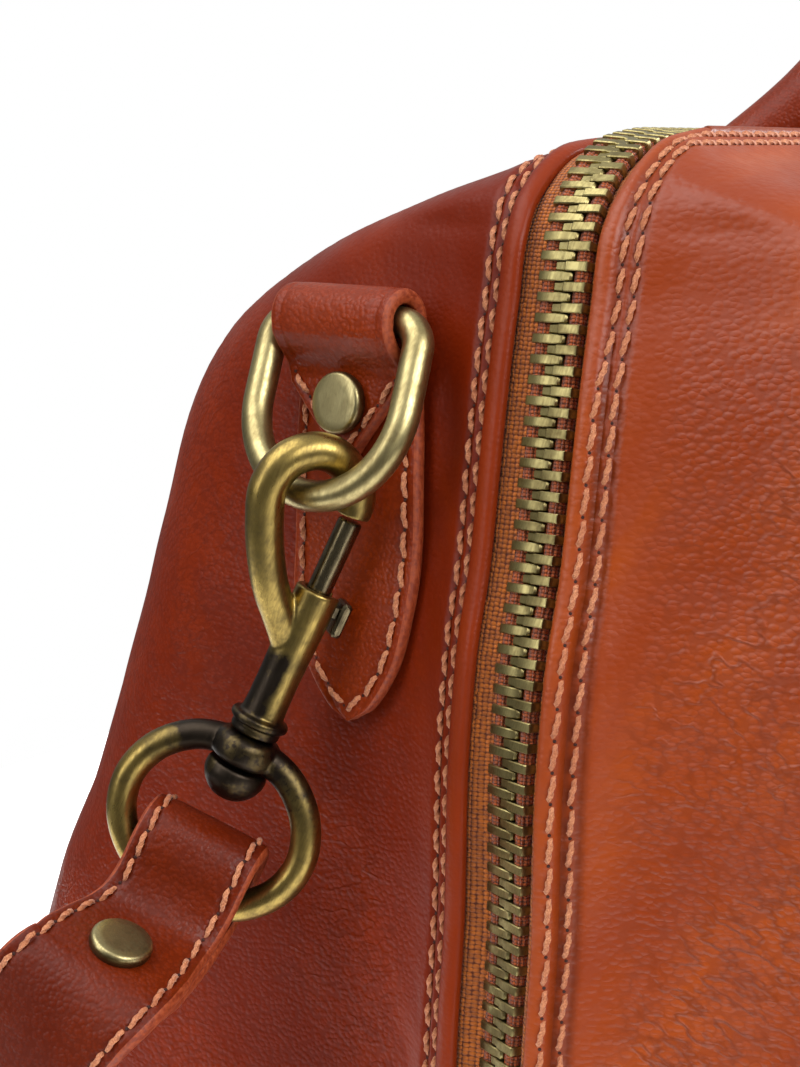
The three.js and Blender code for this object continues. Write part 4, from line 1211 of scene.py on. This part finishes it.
def tab_path():
    """Middle of the tab from the shield's point up, over the bar and down to the flap's point."""
    points, halves = [], []
    for drop in np.concatenate([np.linspace(SHIELD_TIP + TIP_ROUND, 58, 14), np.linspace(57, 0.5, 60)]):
        points.append(tab_wall(drop) + WALL_OUT * BACK_OFF)
        past = max(0.0, (drop - SHIELD_TIP) / TIP_ROUND)
        half = float(smooth_table(SHIELD[:, 0], SHIELD[:, 1], min(drop, SHIELD_DROP)))
        halves.append(max(0.3, half) * max(math.sqrt(max(0.0, 1 - past ** 2)), 0.15))
    for turn in np.linspace(0, math.pi, 40):
        swing = -WALL_OUT * math.cos(turn) + WALL_UP * math.sin(turn)
        points.append(BAR_CENTRE + swing * FOLD_RADIUS)
        halves.append(TAB_HALF)
    for drop in np.concatenate([np.linspace(0.6, 9.4, 24), np.linspace(9.7, 22.4, 40)]):
        points.append(tab_wall(drop) + WALL_OUT * flap_off(drop))
        half = float(np.interp(drop, FLAP[:, 0], FLAP[:, 2]))
        halves.append(max(half, 0.4))
    return np.array(points), np.array(halves)


def outline_inset(table, column, inset, top, flat_off):
    """Stitch line a distance in from a pointed outline: down one side, round the point, up the other."""
    drop = np.linspace(top, table[-1, 0], 160)
    half = np.interp(drop, table[:, 0], table[:, column])
    half = np.convolve(np.pad(half, 4, mode="edge"), np.ones(9) / 9, "valid")
    lean = np.gradient(half, drop)
    across = half - inset / np.sqrt(1 + lean ** 2)
    down = drop + inset * lean / np.sqrt(1 + lean ** 2)
    keep = across > 0.5
    across, down = across[keep], down[keep]
    points, outward = [], []
    for hand, order in ((-1, slice(None)), (1, slice(None, None, -1))):
        for a, d in zip(across[order], down[order]):
            off = flat_off(d) + TAB_LAYER / 2 + STITCH_LIFT
            points.append(tab_wall(d) + WALL_OUT * off + TAB_SIDE * a * hand)
            outward.append(WALL_OUT)
    return np.array(points), np.array(outward)


def build_tab():
    path, half = tab_path()
    profile = strip_profile(half, TAB_LAYER)
    body = sweep(path, TAB_SIDE, profile)
    kinds = strip_kinds(len(path), profile.shape[1])
    lines = [
        outline_inset(SHIELD, 1, STITCH_INSET, SHIELD_STITCH_TOP, lambda drop: BACK_OFF),
        outline_inset(FLAP, 2, FLAP_INSET, FLAP_STITCH_TOP, flap_off),
    ]
    for hand, flip in HANDS:
        make("tab_" + hand + "_leather", mirrored(body, flip), [trim_leather, raw_edge], "trim_leather",
             ["tab_" + hand], kinds=kinds, smooth_angle=50)
        sew("tab_" + hand, mirrored_lines(lines, flip), "trim_leather", TRIM_SLANT)


build_tab()


# Rings, hook and rivets

RING_DOWN = unit((-math.sin(D_TILT), -D_LEAN, -math.cos(D_TILT)))


def ring_point(across, down):
    return BAR_CENTRE + TAB_SIDE * across + RING_DOWN * down


def both_hands(name, body, material, slot, **more):
    for hand, flip in HANDS:
        node = name + "_" + hand
        make(node + "_metal", mirrored(body, flip), material, slot, [node], **more)


def build_d_ring():
    width, corner = D_HALF_WIDTH, D_CORNER
    bow = [(width * math.cos(a), D_STRAIGHT + width * math.sin(a)) for a in np.linspace(0, math.pi, 56)]
    left = [(-width, down) for down in np.linspace(D_STRAIGHT, corner, 8)[1:-1]]
    for turn in np.linspace(0, math.pi / 2, 14):
        left.append((-width + corner * (1 - math.cos(turn)), corner * (1 - math.sin(turn))))
    bar = [(across, 0) for across in np.linspace(-width + corner, width - corner, 12)[1:-1]]
    right = [(-across, down) for across, down in left[::-1]]
    path = np.array([ring_point(across, down) for across, down in bow + left + bar + right])
    body = tube(path, RING_RADIUS, 28, np.cross(TAB_SIDE, RING_DOWN), closed=True)
    both_hands("d_ring", body, ring_brass, "antique_brass")


build_d_ring()


def rivet_body(centre, axis):
    """A flat-topped rivet cap with a rounded rim, its side darkened by patina and painted shade."""
    r, h = RIVET_RADIUS, RIVET_HEIGHT
    rows = [
        (0, TIP), (0, r * 0.9), (h * 0.12, r * 0.96), (h * 0.35, r), (h * 0.62, r), (h * 0.82, r * 0.975),
        (h * 0.93, r * 0.93), (h * 0.98, r * 0.87), (h * 0.99, r * 0.6), (h, r * 0.3), (h, TIP),
    ]
    sides = 48
    # Patina and painted shade down the lower side of the cap.
    patina_and_shade = [0.9 if up < h * 0.7 else 0.0 for up, _ in rows]
    return turned(rows, centre, axis, sides), {"patina_and_shade": np.repeat(patina_and_shade, sides)}


def build_tab_rivet():
    foot = tab_wall(TAB_RIVET_DROP) + WALL_OUT * (FRONT_OFF + TAB_LAYER / 2)
    body, marks = rivet_body(foot + WALL_OUT * 0.2, WALL_OUT)
    both_hands("tab_rivet", body, rivet_brass, "rivet_brass", marks=marks)


build_tab_rivet()

HOOK_AXIS = unit(HOOK_AXIS)
HOOK_SIDE = square_to(np.array([-math.sin(HOOK_TURN), math.cos(HOOK_TURN), 0]), HOOK_AXIS)
HOOK_FACE = np.cross(HOOK_AXIS, HOOK_SIDE)
MOUTH = ring_point(0, D_STRAIGHT + D_HALF_WIDTH) - HOOK_AXIS * LINK_UP - HOOK_SIDE * LINK_OUT


def hook_point(up, out, deep=0.0):
    return MOUTH + HOOK_AXIS * up + HOOK_SIDE * out + HOOK_FACE * deep


def hook_pin(low, high, radius):
    """A plain cylinder on the hook's axis."""
    return turned([(low, TIP), (low, radius), (high, radius), (high, TIP)], MOUTH, HOOK_AXIS, 24)


def hook_block(up, out, half, bevel):
    """A bevelled block in the hook's own directions."""
    rings = []
    for deep, inset in ((-half, bevel), (bevel - half, 0), (half - bevel, 0), (half, bevel)):
        u0, u1 = up[0] + inset, up[1] - inset
        v0, v1 = out[0] + inset, out[1] - inset
        corners = (
            (u0 + bevel, v0), (u1 - bevel, v0), (u1, v0 + bevel), (u1, v1 - bevel), (u1 - bevel, v1),
            (u0 + bevel, v1), (u0, v1 - bevel), (u0, v0 + bevel),
        )
        rings.append([hook_point(u, v, deep) for u, v in corners])
    return stack(rings)


def scratch_object(name, body):
    """A plain object to cut or join with, not a piece of the bag."""
    mesh = bpy.data.meshes.new(name)
    mesh.from_pydata(np.asarray(body[0]).tolist(), [], body[1])
    thing = bpy.data.objects.new(name, mesh)
    bpy.context.scene.collection.objects.link(thing)
    return thing


def fused(name, solids, cuts, voxel, smooth):
    """Solids joined, cut and rounded together. The work is done in millimetres."""
    base = scratch_object(name, solids[0])
    tools = []
    for kind, bodies in (("UNION", solids[1:]), ("DIFFERENCE", cuts)):
        for body in bodies:
            tool = scratch_object(name + "_tool", body)
            tools.append(tool)
            step = base.modifiers.new(kind.lower(), "BOOLEAN")
            step.operation = kind
            step.solver = "EXACT"
            step.object = tool
    even = base.modifiers.new("even", "REMESH")
    even.mode = "VOXEL"
    even.voxel_size = voxel
    soft = base.modifiers.new("soft", "SMOOTH")
    soft.factor = 0.5
    soft.iterations = smooth
    result = bpy.data.meshes.new_from_object(base.evaluated_get(bpy.context.evaluated_depsgraph_get()))
    points = np.zeros(len(result.vertices) * 3)
    result.vertices.foreach_get("co", points)
    faces = [list(p.vertices) for p in result.polygons]
    for thing in tools + [base]:
        bpy.data.objects.remove(thing)
    return points.reshape(-1, 3), faces


def hook_darkening(points):
    """Dark collar, and a shaft that is darker on the bow's side, where the darkening is painted shade."""
    up = (points - MOUTH) @ HOOK_AXIS
    bow_side = smooth_step(0.2, 1.6, (points - MOUTH) @ HOOK_SIDE)
    return np.maximum(DARK * smooth_step(-19, -24, up), smooth_step(-10, -12.5, up) * (0.2 + 0.7 * bow_side))


def build_hook():
    run = rounded_run([hook_point(up, out) for up, out in BOW], 10)
    place = np.linspace(0, 1, len(run))
    swell = 1 + 0.06 * np.sin(math.pi * np.clip((place - 0.2) / 0.65, 0, 1))
    taper = (1 - 0.07 * smooth_step(0.86, 1, place)) * (0.9 + 0.1 * smooth_step(0, 0.25, place))
    bow = tube(run, HOOK_RADIUS * swell * taper, 24, HOOK_FACE)
    solids = [bow, turned(SHAFT, MOUTH, HOOK_AXIS, 40)]
    bore = hook_pin(-BORE_DEPTH, 1.5, BORE_RADIUS)
    slot = hook_block((SLOT_LOW, 2), (-9, 0), SLOT_HALF, 0.02)
    plug = hook_pin(-1, PLUG_TOP, BOLT_RADIUS)
    forms = {"left": (solids, [bore, slot]), "right": (solids + [plug], [])}
    for hand, flip in HANDS:
        body = fused("hook_" + hand, *forms[hand], HOOK_VOXELS[hand], 4)
        make("hook_" + hand + "_metal", mirrored(body, flip), hook_brass, "antique_brass", ["hook_" + hand],
             marks={"patina_and_shade": hook_darkening(body[0])}, smooth_angle=70)


build_hook()


def build_bolt():
    """Spring bolt, with the stem and knob that stick out of the barrel's slot."""
    rows = [
        (-BOLT_TAIL, TIP), (-BOLT_TAIL, BOLT_RADIUS - 0.2), (-BOLT_TAIL + 0.2, BOLT_RADIUS),
        (BOLT_TOP - 0.3, BOLT_RADIUS), (BOLT_TOP, BOLT_RADIUS - 0.3), (BOLT_TOP, TIP),
    ]
    pin = turned(rows, MOUTH, HOOK_AXIS, 32)
    stem = hook_block(STEM_UP, (KNOB_OUT[1] - 0.4, -0.6), STEM_HALF, 0.15)
    knob = hook_block(KNOB_UP, KNOB_OUT, KNOB_HALF, 0.4)
    make("hook_bolt_metal", joined([pin, stem, knob]), bolt_metal, "bolt_metal", ["hook_left_bolt"],
         rides="bolt", smooth_angle=30)


build_bolt()

EYE_ACROSS = square_to(np.array(EYE_SIDE), HOOK_AXIS)
EYE_DOWN = -HOOK_AXIS
EYE_OUT = unit(np.cross(EYE_ACROSS, EYE_DOWN))
EYE_OUT = EYE_OUT * (-1 if EYE_OUT[0] > 0 else 1)
HUB_CENTRE = hook_point(HUB_UP, 0)


def eye_point(across, down):
    return HUB_CENTRE + EYE_ACROSS * across + EYE_DOWN * down


def build_eye():
    left = [eye_point(across, down) for across, down in EYE]
    right = [eye_point(-across, down) for across, down in EYE[::-1]]
    wire = tube(rounded_run(left + right, 10, closed=True), RING_RADIUS, 24, EYE_OUT, closed=True)
    hub = turned(HUB + (HUB_UP, 0), MOUTH, HOOK_AXIS, 40)
    bore = hook_pin(HUB_UP - 6, HUB_UP + 6, HUB_BORE)
    for hand, flip in HANDS:
        body = fused("eye_" + hand, [wire, hub], [bore], EYE_VOXELS[hand], 3)
        # The eye is darker near its hub.
        near = np.linalg.norm(body[0] - HUB_CENTRE, axis=1)
        make("swivel_eye_" + hand + "_metal", mirrored(body, flip), hook_brass, "antique_brass",
             ["swivel_eye_" + hand], marks={"patina_and_shade": DARK * smooth_step(19, 8, near)}, smooth_angle=70)


build_eye()


# Strap

def build_strap():
    bar = eye_point(0, LOOP_DROP)
    out, down = LOOP[:, :1], LOOP[:, 1:]
    drift = -STRAP_DRIFT * np.maximum(0, out - STRAP_TURN[0])
    loop = bar + EYE_OUT * out + EYE_DOWN * down + EYE_ACROSS * drift
    left = np.concatenate([loop, STRAP[:, :3]])
    share = smooth_step(*STRAP_TURN, out)
    far_sides = unit(STRAP[:, 3:])
    near_sides = unit(EYE_ACROSS * (1 - share) + far_sides[0] * share)
    sides = np.concatenate([near_sides, far_sides])
    near_halves = LOOP_HALF + share[:, 0] * (STRAP_HALF - LOOP_HALF)
    near_halves[:TAIL_ROWS] = np.minimum(near_halves[:TAIL_ROWS], TAIL_HALF)
    halves = both_halves(np.concatenate([near_halves, np.full(len(STRAP), STRAP_HALF)]))
    sides = both_halves(sides, MIRROR_X)
    steps = 8
    path = rounded_run(both_halves(left, MIRROR_X), steps)
    place = np.arange(len(path)) / steps
    rows = np.arange(len(sides))
    side = np.stack([np.interp(place, rows, sides[:, c]) for c in range(3)], axis=1)
    half = np.interp(place, rows, halves)
    profile = strip_profile(half, STRAP_THICK, groove=0.35, crown=0.3)
    kinds = strip_kinds(len(path), profile.shape[1])
    make("strap_leather", sweep(path, side, profile), [strap_leather, raw_edge], "trim_leather", ["strap"],
         kinds=kinds, smooth_angle=50)

    ahead = tangents(path)
    across = square_to(side, ahead)
    face = np.cross(ahead, across)
    foot = (loop[-2] + loop[-3]) / 2
    out = unit(np.cross(loop[-2] - loop[-3], near_sides[-2] + near_sides[-3]))
    out = out * (1 if out[2] > 0 else -1)
    first, last = (row * steps for row in STRAP_RIVET_ROWS)
    station = first + np.argmin(np.linalg.norm(path[first:last] - foot, axis=1))
    outward = face if np.dot(face[station], out) > 0 else -face
    sewn = slice(2 * steps, len(path) - 2 * steps)
    lines = []
    for hand in (-1, 1):
        edge = path + across * (hand * (half - STITCH_INSET))[:, None]
        lines.append(((edge + outward * (STRAP_THICK / 2 + STITCH_LIFT))[sewn], outward[sewn]))
    sew("strap", lines, "trim_leather", STRAP_SLANT)
    rivet, marks = rivet_body(foot + out * (STRAP_THICK / 2 - 0.1), out)
    both_hands("strap_rivet", rivet, rivet_brass, "rivet_brass", marks=marks)


build_strap()


# Handles

def build_handles():
    foot = []
    for x, z, lift, _, _ in HANDLE_FOOT:
        rise = unit(side_wall(x, z + 4) - side_wall(x, z - 4))
        out = unit(np.cross(rise, (1.0, 0, 0)))
        foot.append(side_wall(x, z) + out * (lift if out[1] > 0 else -lift))
    points = both_halves(np.concatenate([np.array(foot), HANDLE_GRIP[:, :3]]), MIRROR_X)
    sizes = both_halves(np.concatenate([HANDLE_FOOT[:, 3:], HANDLE_GRIP[:, 3:]]))
    steps = 8
    path = rounded_run(points, steps)
    place = np.arange(len(path)) / steps
    rows = np.arange(len(sizes))
    wide = smooth_table(rows, sizes[:, 0], place)
    thick = smooth_table(rows, sizes[:, 1], place)
    ahead = tangents(path)
    side = unit(np.cross(np.array(HANDLE_FACE), ahead))
    turn = np.arange(40) * 2 * math.pi / 40
    squareness = 1 - 0.45 * smooth_step(3, 1.4, thick)
    cos = np.sign(np.cos(turn)) * np.abs(np.cos(turn))[None] ** squareness[:, None]
    sin = np.sign(np.sin(turn)) * np.abs(np.sin(turn))[None] ** squareness[:, None]
    profile = np.stack([wide[:, None] * cos, thick[:, None] * sin], axis=-1)
    seam = 1 - 0.06 * np.exp(-((turn - 1.5 * math.pi) / 0.12) ** 2)
    profile = profile * seam[None, :, None]
    body = sweep(path, side, profile)
    face = np.cross(ahead, square_to(side, ahead))
    outward = face if np.dot(face[3 * steps], (0, 1, 0.2)) > 0 else -face
    lines = []
    for hand in (-1, 1):
        edge = path + side * hand * (wide * 0.8)[:, None] + outward * (thick * 0.98 + 0.1)[:, None]
        for part in (slice(steps, 5 * steps), slice(len(path) - 5 * steps, len(path) - steps)):
            lines.append((edge[part], outward[part]))
    grip = slice(9 * steps, len(path) - 9 * steps)
    under = path - outward * (thick * 0.95)[:, None]
    lines.append((under[grip], -outward[grip]))
    for name, flip in (("handle_back", SAME), ("handle_front", MIRROR_Y)):
        make(name + "_leather", mirrored(body, flip), trim_leather, "trim_leather", [name], smooth_angle=60)
        sew(name, mirrored_lines(lines, flip), "trim_leather", TRIM_SLANT)


build_handles()


# Floor, light and camera

def build_stage():
    mesh = bpy.data.meshes.new("floor")
    corners = [(x * FLOOR_HALF, y * FLOOR_HALF, 0) for x, y in ((-1, -1), (1, -1), (1, 1), (-1, 1))]
    mesh.from_pydata(corners, [], [(0, 1, 2, 3)])
    f = Finish("floor_pale")
    soft = f.noise(f.place(), 300, 2)
    shade = f.mix(soft, (0.93, 0.93, 0.93, 1), (0.96, 0.96, 0.96, 1))
    f.set(Emission_Color=(1, 1, 1, 1), Emission_Strength=FLOOR_GLOW)
    mesh.materials.append(f.finish(shade, f.ramp(soft, 0, 1, 0.7, 0.8)))
    floor = bpy.data.objects.new("floor", mesh)
    bpy.context.scene.collection.objects.link(floor)


def area_light(name, place, aim, size, power):
    data = bpy.data.lights.new(name, "AREA")
    data.shape = "RECTANGLE"
    data.size, data.size_y = size
    data.energy = power
    lamp = bpy.data.objects.new(name, data)
    lamp.location = place
    lamp.rotation_euler = (Vector(aim) - Vector(place)).to_track_quat("-Z", "Y").to_euler()
    bpy.context.scene.collection.objects.link(lamp)


def build_light():
    """A sky that brightens upwards and is white where the camera looks past the bag, and four lamps."""
    world = bpy.data.worlds.new("studio")
    bpy.context.scene.world = world
    world.use_nodes = True
    sky = Nodes(world.node_tree)
    inputs = {0: sky.add("ShaderNodeTexCoord", {}, "Generated"), 1: tuple(unit(SKY_AXIS))}
    height = sky.add("ShaderNodeVectorMath", inputs, "Value", operation="DOT_PRODUCT")
    seen = sky.add("ShaderNodeLightPath", {}, "Is Camera Ray")
    glow = sky.math("MAXIMUM", sky.ramp(height, *SKY_REACH, *SKY_LEVELS), seen)
    back = world.node_tree.nodes["Background"]
    world.node_tree.links.new(glow, back.inputs["Strength"])
    back.inputs["Color"].default_value = (1, 1, 1, 1)
    for lamp in LAMPS:
        area_light(*lamp)


def build_camera():
    data = bpy.data.cameras.new("camera")
    data.sensor_width = CAMERA_SENSOR
    data.lens = CAMERA_SENSOR / 2 / math.tan(CAMERA_FIELD / 2)
    data.clip_start = 0.01
    camera = bpy.data.objects.new("camera", data)
    camera.location = np.array(CAMERA_PLACE) * MM
    camera.rotation_euler = Vector(CAMERA_AHEAD).to_track_quat("-Z", "Y").to_euler()
    bpy.context.scene.collection.objects.link(camera)
    bpy.context.scene.camera = camera
    bpy.context.scene.view_settings.view_transform = "Standard"


build_stage()
build_light()
build_camera()

bpy.context.view_layer.update()
